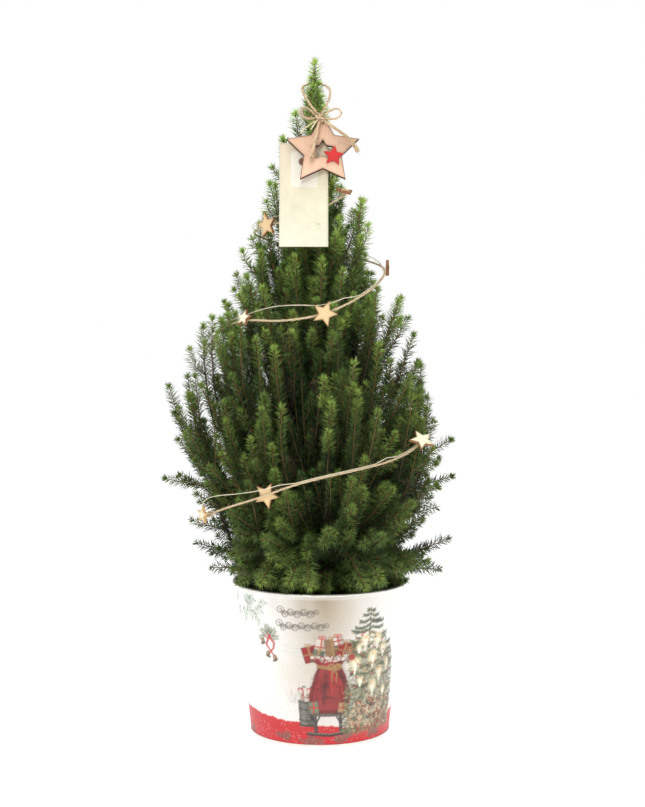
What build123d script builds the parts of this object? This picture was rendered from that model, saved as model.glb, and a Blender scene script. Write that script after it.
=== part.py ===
"""Potted tabletop tree: a dwarf conifer in a liner pot, standing in a printed tin, with a
wooden star tag, a paper card and a jute garland of small wooden stars.

Millimetres, +Z up, origin on the resting plane under the middle of the tin.
Azimuths are in degrees, 0 towards the front (-Y) and growing towards +X.
"""
from build123d import *
import os
from math import cos, hypot, radians, sin, tan

# ---- tin ----
TIN_HEIGHT = 150.0
TIN_BASE_RADIUS = 68.0
TIN_MOUTH_RADIUS = 84.6
SHEET = 0.4
RIM_WIRE_RADIUS = 0.95
BASE_DISC_HEIGHT = 2.6
SEAM_HEIGHT = 3.0
SEAM_GAP = 0.06
LAP_WIDTH = 5.0
LAP_PROUD = 0.7

# ---- liner pot and soil, standing on the tin's base ----
POT_HEIGHT = 125.0
POT_BASE_RADIUS = 56.0
POT_MOUTH_RADIUS = 73.0
POT_LIP_RADIUS = 76.0
POT_LIP_HEIGHT = 8.0
POT_WALL = 1.0
DRAIN_HOLES = 8
DRAIN_RADIUS = 4.0
SOIL_BELOW_LIP = 11.0
SOIL_CROWN = 4.0

# ---- trunk: centre line points with radii ----
TRUNK = [
    ((0, 0, 30), 11.0),
    ((0, 0, 126), 9.0),
    ((-1, 1, 215), 7.4),
    ((-3, 0, 320), 6.0),
    ((-6, 1, 420), 4.6),
    ((-7, 0, 500), 3.4),
    ((-6, 0, 570), 2.4),
    ((-5, 0, 651), 1.0),
]

# ---- crown: radius of the closed needle mass at each height ----
CROWN = [
    (158, 90), (180, 103), (225, 114), (240, 117), (275, 120), (322, 118), (365, 106),
    (405, 89), (440, 70), (480, 54), (520, 42), (565, 26),
]
CORE_RADIUS = 15.0
SECTOR_GAP = 0.6
# tier: core low, core high, skin low, skin high, axis x, branch start z, branch end z
TIERS = {
    "skirt": (122, 178, 158, 236, 0, 150, 204),
    "lower": (182, 262, 240, 324, 0, 222, 288),
    "middle": (266, 345, 328, 405, -4, 305, 370),
    "upper": (349, 425, 409, 480, -6, 388, 448),
    "top": (429, 518, 484, 562, -6, 468, 528),
}
# tier, side, first azimuth, last azimuth, reach of the needles at the tier's widest, and
# how far above the tier's lowest branch this one leaves the trunk
SECTORS = [
    ("skirt", "front", -52, 38, 114, 0),
    ("skirt", "right", 39, 128, 140, 9),
    ("skirt", "back", 129, 218, 114, 2),
    ("skirt", "left", 219, 307, 118, 11),
    ("lower", "front", -58, 45, 116, 3),
    ("lower", "right", 46, 134, 104, 12),
    ("lower", "back", 135, 224, 116, 0),
    ("lower", "left", 225, 301, 140, 14),
    ("middle", "front", -62, 52, 113, 0),
    ("middle", "right", 53, 168, 108, 10),
    ("middle", "left", 169, 297, 113, 20),
    ("upper", "left", 182, 358, 86, 0),
    ("upper", "right", -1, 181, 86, 12),
    ("top", "left", 170, 346, 51, 0),
    ("top", "right", -13, 169, 51, 12),
]
# the underside of the skirt, clear of the tin's rim: radius and height
SKIRT_UNDERSIDE = [(62, 136), (80, 155)]
# height and radius of the needle mass round the leader
LEADER_AXIS_X = -5.0
LEADER = [(567, 22), (585, 14), (606, 7), (640, 5), (657, 1.2)]

# ---- garland: azimuth, radius and height of each point, about the garland's axis ----
GARLAND_AXIS_X = -6.0
GARLAND_DIAMETER = 2.0
GARLAND = [
    (-56, 122, 222), (-40, 124, 233), (-23, 124.5, 244), (-8, 126, 257), (6, 128, 265),
    (20, 129, 271), (35, 128, 277), (50, 128, 288), (66, 116, 300), (83, 111.5, 312),
    (101, 113, 320), (119, 116, 326), (137, 118, 333), (155, 120, 340), (173, 121, 348),
    (191, 119, 357), (210, 116, 362), (229, 110, 367), (248, 105, 373), (266, 101, 381),
    (285, 98, 391), (303, 97, 401), (322, 98, 406), (338, 97, 404), (353, 97, 406),
    (367, 98, 411), (383, 93, 422), (402, 86, 436), (424, 76, 448), (449, 70, 456),
    (473, 69, 462), (497, 68, 468), (520, 67, 474), (544, 66, 479), (568, 64, 483),
    (592, 62, 487), (616, 60, 490), (640, 59, 492), (663, 58, 494), (685, 57, 497),
    (706, 54, 502), (723, 51.5, 508), (739, 52, 515), (755, 53, 524),
]
THREAD_DIAMETER = 0.9
THREAD = [
    (-57, 126, 230), (-52, 129, 239), (-43, 129, 244), (-32, 127.5, 247), (-20, 127.5, 252),
    (-7, 128, 262), (7, 131, 270), (21, 131, 276), (35, 128, 282), (46, 124, 288),
    (58, 123.5, 296.5), (73, 116, 308.5), (89, 113, 318.5), (106, 115, 327), (124, 114.5, 333.5),
    (142, 114, 341), (160, 118, 348), (178, 118, 356), (197, 114, 362.5), (216, 112, 368),
    (235, 107, 374), (254, 102, 381), (272, 99, 389.5), (290, 96, 399), (307, 93.5, 406.5),
    (322, 91.5, 412.5), (338, 97, 418), (352, 96, 419), (366, 94, 418), (381, 92, 427),
    (398, 87, 439), (417, 78, 451), (436, 68, 459), (459, 65, 463), (483, 68, 470),
    (505, 65, 477), (528, 62, 481), (552, 66, 486), (576, 66, 490), (600, 64, 494),
    (624, 62, 497), (647, 58, 500), (669, 54, 503), (690, 52.5, 505), (709, 50.5, 509),
    (724, 48.5, 515), (738, 48.5, 521),
]

# ---- garland stars ----
LARGE_STAR = (12.5, 5.9)
SMALL_STAR = (8.5, 4.0)
GARLAND_STAR_THICKNESS = 3.0
# name, azimuth, radius and height of the cord there, facing azimuth, tilt up, roll, size, and
# the distance from the cord's axis to the star's back face (negative: the cord runs in front)
GARLAND_STARS = [
    ("garland_star_1", -53, 122.2, 224, -50, 0, 12, SMALL_STAR, 5.5),
    ("garland_star_2", -20.5, 124.3, 246, -19, 0, -5, LARGE_STAR, -5.9),
    ("garland_star_3", 51.5, 127.3, 289, 15, 48, 36, LARGE_STAR, 5.2),
    ("garland_star_4", 137, 117.3, 333, 137, 5, 20, LARGE_STAR, 1.4),
    ("garland_star_5", 191, 118.3, 357, 191, -6, 0, LARGE_STAR, 1.4),
    ("garland_star_6", 320, 97.2, 406, -38, 22, 15, SMALL_STAR, 1.4),
    ("garland_star_7", 366, 97.3, 411, 6, 0, -3, LARGE_STAR, 1.4),
    ("garland_star_8", 449, 69.3, 456, 90, 0, 18, SMALL_STAR, 1.4),
    ("garland_star_9", 520, 66.4, 474, 160, 4, 40, LARGE_STAR, 1.4),
    ("garland_star_10", 673, 57.6, 495.4, -42, 0, 30, LARGE_STAR, 1.4),
    ("garland_star_11", 753, 52.4, 523, 30, 68, 0, SMALL_STAR, 3.0),
]

# ---- star tag and card, hanging in two planes that lean on the crown ----
KNOT = (0.0, -36.0, 596.0)
LEAN = 16.5
TAG_CENTRE = (2.85, -32.0)
TAG_STAR = (36.3, 18.8)
TAG_WINDOW = (10.8, 6.0)
TAG_THICKNESS = 3.0
TAG_HOLE = (2.85, -4.6)
TAG_HOLE_RADIUS = 1.4
TAG_ROLL = 90
RED_CENTRE = (13.0, -38.5)
RED_STAR = (10.4, 5.0)
RED_THICKNESS = 2.0
RED_ROLL = 84
CARD_SIZE = (46.0, 104.0)
CARD_CENTRE = (-15.0, -74.5)
CARD_THICKNESS = 0.5
CARD_BEHIND = 5.0
CARD_HOLE = (-15.0, -26.6)
CARD_HOLE_RADIUS = 1.8
LABEL_SIZE = (26.0, 37.0)
LABEL_CENTRE = (-14.5, -49.0)
LABEL_THICKNESS = 0.15

# ---- jute twine round the leader, its knot, bow and tails ----
TWINE_DIAMETER = 2.0
KNOT_RADII = (4.4, 3.8, 3.0)
KNOT_STANDOFF = 5.4
HANGING_LOOP = [
    (-1.7, -40.0, 600.3), (-7, -34, 607), (-13, -22, 618), (-18, -7, 628), (-15, 6, 635),
    (-6, 12, 638), (4, 8, 636), (10, -5, 630), (10, -20, 620), (6, -33, 608), (1.9, -40.0, 600.3),
]
# bow loops and tails: points in the tag's plane, then the distance in front of it
BOW_LOOPS = [
    [(4.9, 1.3, 7.0), (10, 5, 8.0), (16.5, 7.5, 8.4), (21.5, 3, 8.0), (17.5, -2.5, 7.0),
     (10.5, -3.2, 6.2), (5.1, -1.8, 5.6)],
    [(-4.9, 1.3, 7.0), (-9, 6, 8.0), (-14, 8.5, 8.4), (-19, 4, 8.0), (-15.5, -1.5, 7.0),
     (-10, -3, 6.2), (-5.1, -1.8, 5.6)],
]
TAILS = [
    [(4.4, -4.6, 5.8), (10, -9, 6.4), (18, -15, 6.2), (25, -20, 5.8), (31, -27, 5.4),
     (36, -35, 5.2)],
    [(-0.6, -5.5, 5.6), (-2.5, -14, 6.2), (-4, -24, 6.4), (-6.5, -34, 6.2), (-8.5, -43, 6.0)],
    [(-4.4, -4.6, 5.4), (-9.5, -9, 6.2), (-14.5, -12.5, 6.2), (-18, -17.5, 5.8)],
    [(-2.4, -4.9, 8.6), (-5.2, -9.5, 9.4), (-8, -15, 9.2)],
]
CARD_TIE_DIAMETER = 1.0
CARD_TIE = [
    (1.2, -6.4, -3.1), (-2.4, -10.5, -3.1), (-6.8, -16, -3.1), (-11.2, -21.4, -3.1),
    (-14.7, -25.7, -3.2), (-15.1, -26.6, -4.9), (-14.6, -25.6, -6.7), (-10.6, -19.6, -7.0),
    (-6, -13.4, -6.8), (-1.5, -8, -5.9), (2.4, -5.0, -4.2),
]

ARC_SHARE = 0.45


def save(shape, name):
    export_step(shape, f"parts/{name}.step")


def around(azimuth, radius, height, axis_x=0.0):
    """A point at an azimuth and radius about a vertical axis in the XZ plane."""
    a = radians(azimuth)
    return Vector(axis_x + radius * sin(a), -radius * cos(a), height)


def tag_plane(u=0.0, v=0.0, forward=0.0):
    """The leaning plane of the star tag, with its origin at (u, v) and moved forward."""
    lean = radians(LEAN)
    normal = Vector(0, -cos(lean), sin(lean))
    up = Vector(0, sin(lean), cos(lean))
    origin = Vector(*KNOT) + Vector(u, 0, 0) + up * v + normal * forward
    return Plane(origin=origin, x_dir=(1, 0, 0), z_dir=normal)


def tag_point(u, v, forward):
    return tag_plane(u, v, forward).origin


def revolved(outline, sweep=360):
    """A closed (radius, height) outline turned about Z."""
    face = make_face(Polyline(*[(r, 0, z) for r, z in outline], close=True))
    return revolve(face, Axis.Z, sweep)


def star_points(outer, inner, roll):
    points = []
    for k in range(10):
        radius = outer if k % 2 == 0 else inner
        a = radians(roll + 36 * k)
        points.append((radius * cos(a), radius * sin(a)))
    return points


def star_plate(size, thickness, roll=0.0):
    """A five-pointed plate, centred on the XY origin, rising from z = 0."""
    outer, inner = size
    face = make_face(Polyline(*star_points(outer, inner, roll), close=True))
    return extrude(face, thickness)


def corner_radii(points):
    """The radius of each corner: a fixed share of its shorter run."""
    radii = []
    for a, b, c in zip(points, points[1:], points[2:]):
        turn = radians((b - a).get_angle(c - b))
        radii.append(ARC_SHARE * min((b - a).length, (c - b).length) / tan(turn / 2))
    return radii


def cord_tube(name, points, diameter):
    """A round tube along straight runs joined by tangent arcs."""
    points = [Vector(*p) if isinstance(p, tuple) else p for p in points]
    radii = corner_radii(points)
    path = FilletPolyline(*points, radius=radii)
    start = Plane(origin=points[0], z_dir=points[1] - points[0])
    tube = sweep(start * Circle(diameter / 2), path=path)
    section = 3.14159 * diameter ** 2 / 4
    share = tube.volume / (section * path.length)
    print(f"{name}: length {path.length:.0f} mm, least radius {min(radii):.1f} mm, "
          f"volume share {share:.3f}")
    return tube


def tapered_stem(points, radii):
    """A woody stem through round sections, one at each point, square to the line."""
    points = [Vector(*p) for p in points]
    sections = []
    for k, point in enumerate(points):
        before = points[max(k - 1, 0)]
        after = points[min(k + 1, len(points) - 1)]
        plane = Plane(origin=point, x_dir=(0, 1, 0), z_dir=after - before)
        sections.append(plane * Circle(radii[k]))
    return loft(sections, ruled=True)


# ---- tin ----
def tin_radius(z):
    return TIN_BASE_RADIUS + (TIN_MOUTH_RADIUS - TIN_BASE_RADIUS) * z / TIN_HEIGHT


def make_tin_wall():
    """The tapered sheet with its rolled rim and the lap seam down its back."""
    low = 0.6
    high = TIN_HEIGHT - 2 * (RIM_WIRE_RADIUS + SHEET)
    wall = revolved([
        (tin_radius(low) - SHEET, low), (tin_radius(low), low),
        (tin_radius(high), high + 0.4), (tin_radius(high) - SHEET, high + 0.4),
    ])
    curl_radius = tin_radius(high) - SHEET + RIM_WIRE_RADIUS + SHEET
    curl_height = TIN_HEIGHT - RIM_WIRE_RADIUS - SHEET
    curl = Torus(curl_radius, RIM_WIRE_RADIUS + SHEET) - Torus(curl_radius, RIM_WIRE_RADIUS + 0.02)
    slot = revolved([
        (curl_radius + 0.3, -2 * RIM_WIRE_RADIUS), (curl_radius + 3, -2 * RIM_WIRE_RADIUS),
        (curl_radius + 3, -0.4), (curl_radius + 0.3, -0.4),
    ])
    wall = wall + Pos(0, 0, curl_height) * (curl - slot)
    slope = (TIN_MOUTH_RADIUS - TIN_BASE_RADIUS) / TIN_HEIGHT
    lap_low, lap_high = SEAM_HEIGHT + 1.5, TIN_HEIGHT - 5
    lap = extrude(Plane.YZ.offset(-LAP_WIDTH / 2) * make_face(Polyline(
        (tin_radius(lap_low) - 0.2, lap_low), (tin_radius(lap_low) + LAP_PROUD, lap_low),
        (tin_radius(lap_high) + LAP_PROUD, lap_high), (tin_radius(lap_high) - 0.2, lap_high),
        close=True)), LAP_WIDTH)
    return wall + lap


def make_rim_wire():
    high = TIN_HEIGHT - 2 * (RIM_WIRE_RADIUS + SHEET)
    curl_radius = tin_radius(high) + RIM_WIRE_RADIUS
    return Pos(0, 0, TIN_HEIGHT - RIM_WIRE_RADIUS - SHEET) * Torus(curl_radius, RIM_WIRE_RADIUS)


def make_tin_base():
    """The base disc, with the channel at its edge that grips the wall's lower edge."""
    inner = tin_radius(0) - SHEET - SEAM_GAP
    outer = tin_radius(0) + SEAM_GAP
    rise = tin_radius(SEAM_HEIGHT) - tin_radius(0)
    return revolved([
        (0, BASE_DISC_HEIGHT), (inner - 0.5, BASE_DISC_HEIGHT), (inner - 0.5, 0),
        (outer + 0.5, 0), (outer + 0.5 + rise, SEAM_HEIGHT), (outer + rise, SEAM_HEIGHT),
        (outer + rise * 0.16, 0.5), (inner, 0.5), (inner, BASE_DISC_HEIGHT + SHEET),
        (0, BASE_DISC_HEIGHT + SHEET),
    ])


# ---- liner pot and soil ----
POT_FLOOR = BASE_DISC_HEIGHT + SHEET
POT_TOP = POT_FLOOR + POT_HEIGHT


def pot_radius(z):
    share = (z - POT_FLOOR) / POT_HEIGHT
    return POT_BASE_RADIUS + (POT_MOUTH_RADIUS - POT_BASE_RADIUS) * share


def pot_inner_radius(z):
    share = (z - POT_FLOOR - POT_WALL) / (POT_HEIGHT - POT_WALL)
    return POT_BASE_RADIUS + (POT_MOUTH_RADIUS - POT_BASE_RADIUS) * share - POT_WALL


def make_liner_pot():
    lip_low = POT_TOP - POT_LIP_HEIGHT
    pot = revolved([
        (0, POT_FLOOR), (POT_BASE_RADIUS, POT_FLOOR), (pot_radius(lip_low), lip_low),
        (POT_LIP_RADIUS, lip_low), (POT_LIP_RADIUS, POT_TOP),
        (POT_MOUTH_RADIUS - POT_WALL, POT_TOP), (POT_BASE_RADIUS - POT_WALL, POT_FLOOR + POT_WALL),
        (0, POT_FLOOR + POT_WALL),
    ])
    for k in range(DRAIN_HOLES):
        centre = around(45 * k + 22, 0.68 * POT_BASE_RADIUS, POT_FLOOR)
        pot = pot - Pos(centre) * Cylinder(DRAIN_RADIUS, 4 * POT_WALL)
    return pot


def make_root_ball(trunk):
    gap = 0.05
    floor = POT_FLOOR + POT_WALL
    top = POT_TOP - SOIL_BELOW_LIP
    soil = revolved([
        (0, floor), (pot_inner_radius(floor) - gap, floor),
        (pot_inner_radius(top) - gap, top), (0.55 * POT_BASE_RADIUS, top + 0.4 * SOIL_CROWN),
        (14, top + SOIL_CROWN), (0, top + SOIL_CROWN),
    ])
    return soil - trunk


# ---- crown ----
def crown_radius(z):
    for (z0, r0), (z1, r1) in zip(CROWN, CROWN[1:]):
        if z0 <= z <= z1:
            return r0 + (r1 - r0) * (z - z0) / (z1 - z0)
    raise ValueError(z)


def make_branch(tier, first, last, reach, lift, trunk):
    """One limb: out of the trunk, then rising towards the skin of its needle mass."""
    axis_x, start, end = TIERS[tier][4:]
    start = start + lift
    azimuth = (first + last) / 2 + 6
    rise = end - start
    line = [
        around(azimuth, 3, start, axis_x),
        around(azimuth, 0.34 * reach, start + 0.16 * rise, axis_x),
        around(azimuth - 4, 0.66 * reach, start + 0.48 * rise, axis_x),
        around(azimuth - 2, 0.88 * reach, end, axis_x),
    ]
    thick = 1.2 + reach / 40
    limb = tapered_stem([tuple(p) for p in line], [thick, 0.8 * thick, 0.55 * thick, 0.3 * thick])
    return limb - trunk


def tier_edge(core_z, skin_z, share):
    """The flat edge between two tiers, from the core to a skin of the given share."""
    full = crown_radius(skin_z)
    radius = share * full
    if radius > full:
        return [(CORE_RADIUS, core_z), (full, skin_z), (radius, skin_z)]
    slope = (skin_z - core_z) / (full - CORE_RADIUS)
    return [(CORE_RADIUS, core_z), (radius, core_z + slope * (radius - CORE_RADIUS))]


def make_needles(tier, first, last, reach, branch):
    """The closed mass of shoots that one limb carries: a sector of the crown."""
    core_low, core_high, skin_low, skin_high, axis_x = TIERS[tier][:5]
    between = [z for z, r in CROWN if skin_low < z < skin_high]
    share = reach / max(crown_radius(z) for z in [skin_low, *between, skin_high])
    lower_edge = tier_edge(core_low, skin_low, share)
    if tier == "skirt":
        lower_edge = [lower_edge[0], *SKIRT_UNDERSIDE, (share * crown_radius(skin_low), skin_low)]
    upper_edge = tier_edge(core_high, skin_high, share)
    outline = lower_edge + [(share * crown_radius(z), z) for z in between] + upper_edge[::-1]
    sector = revolved(outline, last - first - SECTOR_GAP)
    sector = Pos(axis_x, 0, 0) * Rot(0, 0, first - 90 + SECTOR_GAP / 2) * sector
    return sector - branch


def make_leader_needles(trunk):
    outline = [(0, LEADER[0][0])] + [(r, z) for z, r in LEADER] + [(0, LEADER[-1][0])]
    return Pos(LEADER_AXIS_X, 0, 0) * revolved(outline) - trunk


# ---- garland ----
def garland_line(rows):
    return [around(azimuth, radius, height, GARLAND_AXIS_X) for azimuth, radius, height in rows]


def make_garland_star(azimuth, radius, height, facing, tilt, roll, size, standoff):
    """A wooden star on the outside or, with a negative standoff, the inside of the cord."""
    f, t = radians(facing), radians(tilt)
    normal = Vector(sin(f) * cos(t), -cos(f) * cos(t), sin(t))
    across = Vector(cos(f), sin(f), 0)
    centre = around(azimuth, radius, height, GARLAND_AXIS_X)
    plane = Plane(origin=centre + normal * standoff, x_dir=across, z_dir=normal)
    return plane * star_plate(size, GARLAND_STAR_THICKNESS, roll)


# ---- star tag, card and twine ----
def make_star_tag():
    star = star_plate(TAG_STAR, TAG_THICKNESS, TAG_ROLL)
    star = star - Pos(0, 0, -1) * star_plate(TAG_WINDOW, TAG_THICKNESS + 2, TAG_ROLL)
    hole = (TAG_HOLE[0] - TAG_CENTRE[0], TAG_HOLE[1] - TAG_CENTRE[1])
    star = star - Pos(*hole, 0) * Cylinder(TAG_HOLE_RADIUS, 4 * TAG_THICKNESS)
    return tag_plane(*TAG_CENTRE, -TAG_THICKNESS / 2) * star


def make_red_star():
    return tag_plane(*RED_CENTRE, TAG_THICKNESS / 2) * star_plate(RED_STAR, RED_THICKNESS, RED_ROLL)


def make_card():
    card = extrude(Rectangle(*CARD_SIZE), CARD_THICKNESS)
    hole = (CARD_HOLE[0] - CARD_CENTRE[0], CARD_HOLE[1] - CARD_CENTRE[1])
    card = card - Pos(*hole, 0) * Cylinder(CARD_HOLE_RADIUS, 4)
    return tag_plane(*CARD_CENTRE, -CARD_BEHIND) * card


def make_card_label():
    label = extrude(Rectangle(*LABEL_SIZE), LABEL_THICKNESS)
    return tag_plane(*LABEL_CENTRE, CARD_THICKNESS - CARD_BEHIND) * label


def make_twine_knot():
    """The wrapped knot in front of the star's top point, and its strand through the hole."""
    a, b, c = KNOT_RADII
    knot = scale(Sphere(1), by=(a, b, c))
    knot = tag_plane(0, -1, KNOT_STANDOFF) * knot
    strand = tag_plane(*TAG_HOLE, -TAG_THICKNESS) * Cylinder(
        1.1, TAG_THICKNESS + KNOT_STANDOFF, align=(Align.CENTER, Align.CENTER, Align.MIN))
    return knot + strand


def make_tubes(name, routes, diameter):
    tubes = [
        cord_tube(f"{name} {k + 1}", [tag_point(*p) for p in route], diameter)
        for k, route in enumerate(routes)
    ]
    return tubes[0] if len(tubes) == 1 else Compound(children=tubes)


os.makedirs("parts", exist_ok=True)

save(make_tin_wall(), "tin_wall")
save(make_rim_wire(), "rim_wire")
save(make_tin_base(), "tin_base")
save(make_liner_pot(), "liner_pot")

trunk = tapered_stem([p for p, r in TRUNK], [r for p, r in TRUNK])
save(trunk, "trunk")
save(make_root_ball(trunk), "root_ball")

for tier, side, first, last, reach, lift in SECTORS:
    branch = make_branch(tier, first, last, reach, lift, trunk)
    save(branch, f"{tier}_branch_{side}")
    save(make_needles(tier, first, last, reach, branch), f"{tier}_needles_{side}")
save(make_leader_needles(trunk), "leader_needles")

save(cord_tube("garland_cord", garland_line(GARLAND), GARLAND_DIAMETER), "garland_cord")
save(cord_tube("garland_thread", garland_line(THREAD), THREAD_DIAMETER), "garland_thread")
for name, *place in GARLAND_STARS:
    save(make_garland_star(*place), name)

save(make_star_tag(), "star_tag")
save(make_red_star(), "red_star")
save(make_card(), "card")
save(make_card_label(), "card_label")
save(make_twine_knot(), "twine_knot")
save(cord_tube("hanging_loop", HANGING_LOOP, TWINE_DIAMETER), "twine_hanging_loop")
save(make_tubes("bow_loop", BOW_LOOPS, TWINE_DIAMETER), "twine_bow")
save(make_tubes("tail", TAILS, TWINE_DIAMETER), "twine_tails")
save(make_tubes("card_tie", [CARD_TIE], CARD_TIE_DIAMETER), "card_tie")
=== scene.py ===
"""Looks of the tabletop tree: shoots and needles, printed tin, jute garland, wooden stars, tag and card."""

import math

import bpy
import numpy as np
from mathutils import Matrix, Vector
from mathutils.geometry import delaunay_2d_cdt


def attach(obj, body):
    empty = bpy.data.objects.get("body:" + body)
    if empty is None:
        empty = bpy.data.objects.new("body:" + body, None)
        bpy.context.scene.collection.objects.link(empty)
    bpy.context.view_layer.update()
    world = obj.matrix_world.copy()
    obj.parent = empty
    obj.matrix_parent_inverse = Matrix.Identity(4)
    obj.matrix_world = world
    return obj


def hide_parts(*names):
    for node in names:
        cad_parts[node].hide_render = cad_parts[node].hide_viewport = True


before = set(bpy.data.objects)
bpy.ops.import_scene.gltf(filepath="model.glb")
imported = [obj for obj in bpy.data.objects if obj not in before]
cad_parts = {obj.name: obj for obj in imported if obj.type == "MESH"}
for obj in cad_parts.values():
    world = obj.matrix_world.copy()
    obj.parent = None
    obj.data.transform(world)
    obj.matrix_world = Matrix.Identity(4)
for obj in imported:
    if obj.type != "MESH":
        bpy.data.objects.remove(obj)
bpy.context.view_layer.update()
scene = bpy.context.scene
MM = 0.001
GOLDEN_ANGLE = 2.39996
rng = np.random.default_rng(14)


# ---------------------------------------------------------------- small helpers
def unit(v):
    v = np.asarray(v, float)
    return v / np.maximum(np.linalg.norm(v, axis=-1, keepdims=True), 1e-12)


def linear(r, g, b):
    """A colour given on the usual 0 to 255 scale, as linear light."""
    c = np.array([r, g, b], float) / 255
    return np.where(c <= 0.04045, c / 12.92, ((c + 0.055) / 1.055) ** 2.4)


def around(az, r, z, axis_x=0.0):
    """Points at an azimuth (0 is the front, growing to the right), a radius and a height, in mm."""
    a = np.radians(az)
    z = np.broadcast_to(z, np.shape(a))
    return np.stack([axis_x + r * np.sin(a), -r * np.cos(a), z], axis=-1)


class Shape:
    """Triangles with a colour at each corner point, gathered in mm and made into one piece."""

    def __init__(self):
        self.verts, self.faces, self.tints, self.count = [], [], [], 0

    def add(self, verts, faces, tint):
        verts = np.asarray(verts, float).reshape(-1, 3)
        self.verts.append(verts)
        self.faces.append(np.asarray(faces, int).reshape(-1, 3) + self.count)
        self.tints.append(np.broadcast_to(tint, verts.shape).copy())
        self.count += len(verts)

    def piece(self, name, material, body, slot, replaces=(), smooth=True):
        verts = np.concatenate(self.verts)
        faces = np.concatenate(self.faces)
        tints = np.concatenate(self.tints)
        me = bpy.data.meshes.new(name)
        me.vertices.add(len(verts))
        me.vertices.foreach_set("co", (verts * MM).ravel())
        me.loops.add(3 * len(faces))
        me.loops.foreach_set("vertex_index", faces.ravel())
        me.polygons.add(len(faces))
        me.polygons.foreach_set("loop_start", np.arange(0, 3 * len(faces), 3))
        me.polygons.foreach_set("use_smooth", np.full(len(faces), smooth))
        me.update(calc_edges=True)
        paint = me.color_attributes.new("tint", "FLOAT_COLOR", "POINT")
        rgba = np.ones((len(verts), 4))
        rgba[:, :3] = np.clip(tints, 0, 1)
        paint.data.foreach_set("color", rgba.ravel())
        me.materials.append(material)
        ob = bpy.data.objects.new(name, me)
        scene.collection.objects.link(ob)
        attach(ob, body)
        if replaces:
            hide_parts(*replaces)
        return ob


def grid_faces(rows, cols, closed):
    """Triangles over a grid of rows x cols points, closed around the columns or open."""
    i, j = np.meshgrid(np.arange(rows - 1), np.arange(cols if closed else cols - 1), indexing="ij")
    a = i * cols + j
    b = i * cols + (j + 1) % cols
    c = a + cols
    d = b + cols
    return np.concatenate([np.stack([a, b, d], -1).reshape(-1, 3), np.stack([a, d, c], -1).reshape(-1, 3)])


def frames_along(path):
    """The run of a path and two directions across it that don't twist."""
    t = unit(np.gradient(path, axis=0))
    u = np.empty_like(t)
    ref = np.array([0.0, 0.0, 1.0]) if abs(t[0, 2]) < 0.9 else np.array([1.0, 0.0, 0.0])
    u[0] = unit(np.cross(t[0], ref))
    for i in range(1, len(t)):
        u[i] = unit(u[i - 1] - t[i] * np.dot(u[i - 1], t[i]))
    return t, u, np.cross(t, u)


def tube(path, radii, sides, axes=None, flat=1.0):
    """A round tube along a path, closed at both ends. flat below 1 flattens it across its second axis."""
    t, u, v = axes or frames_along(path)
    a = np.arange(sides) * 2 * math.pi / sides
    radii = np.broadcast_to(radii, len(path))[:, None, None]
    ring = np.cos(a)[None, :, None] * u[:, None, :] + flat * np.sin(a)[None, :, None] * v[:, None, :]
    verts = (path[:, None, :] + radii * ring).reshape(-1, 3)
    n = len(path)
    faces = [grid_faces(n, sides, True)[:, ::-1]]
    j = np.arange(sides)
    k = (j + 1) % sides
    faces.append(np.stack([np.full(sides, n * sides), j, k], -1)[:, ::-1][:, [0, 2, 1]])
    faces.append(np.stack([np.full(sides, n * sides + 1), (n - 1) * sides + k,
                           (n - 1) * sides + j], -1)[:, [0, 2, 1]])
    return np.concatenate([verts, path[:1], path[-1:]]), np.concatenate(faces)


def wave(x, seed, steps=(1.0, 2.3, 4.1)):
    """A smooth wandering value between about -1 and 1, the same for the same seed."""
    r = np.random.default_rng(seed)
    total = 0.0
    for k, f in enumerate(steps):
        total = total + np.sin(x * f + r.uniform(0, 6.28)) / (1 + k)
    return total / 1.6


# ---------------------------------------------------------------- materials
def new_material(name):
    m = bpy.data.materials.new(name)
    m.use_nodes = True
    return m, m.node_tree, m.node_tree.nodes["Principled BSDF"]


def value_noise(nt, scale, detail, stretch=(1, 1, 1)):
    """A noise texture on the object's own coordinates, in metres."""
    co = nt.nodes.new("ShaderNodeTexCoord")
    mp = nt.nodes.new("ShaderNodeMapping")
    mp.inputs["Scale"].default_value = stretch
    no = nt.nodes.new("ShaderNodeTexNoise")
    no.inputs["Scale"].default_value = scale
    no.inputs["Detail"].default_value = detail
    nt.links.new(co.outputs["Object"], mp.inputs["Vector"])
    nt.links.new(mp.outputs["Vector"], no.inputs["Vector"])
    return no


def ranged(nt, source, low, high):
    """Maps a noise's middle range onto low to high."""
    mr = nt.nodes.new("ShaderNodeMapRange")
    mr.inputs["From Min"].default_value = 0.3
    mr.inputs["From Max"].default_value = 0.7
    mr.inputs["To Min"].default_value = low
    mr.inputs["To Max"].default_value = high
    nt.links.new(source, mr.inputs["Value"])
    return mr.outputs["Result"]


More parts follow.
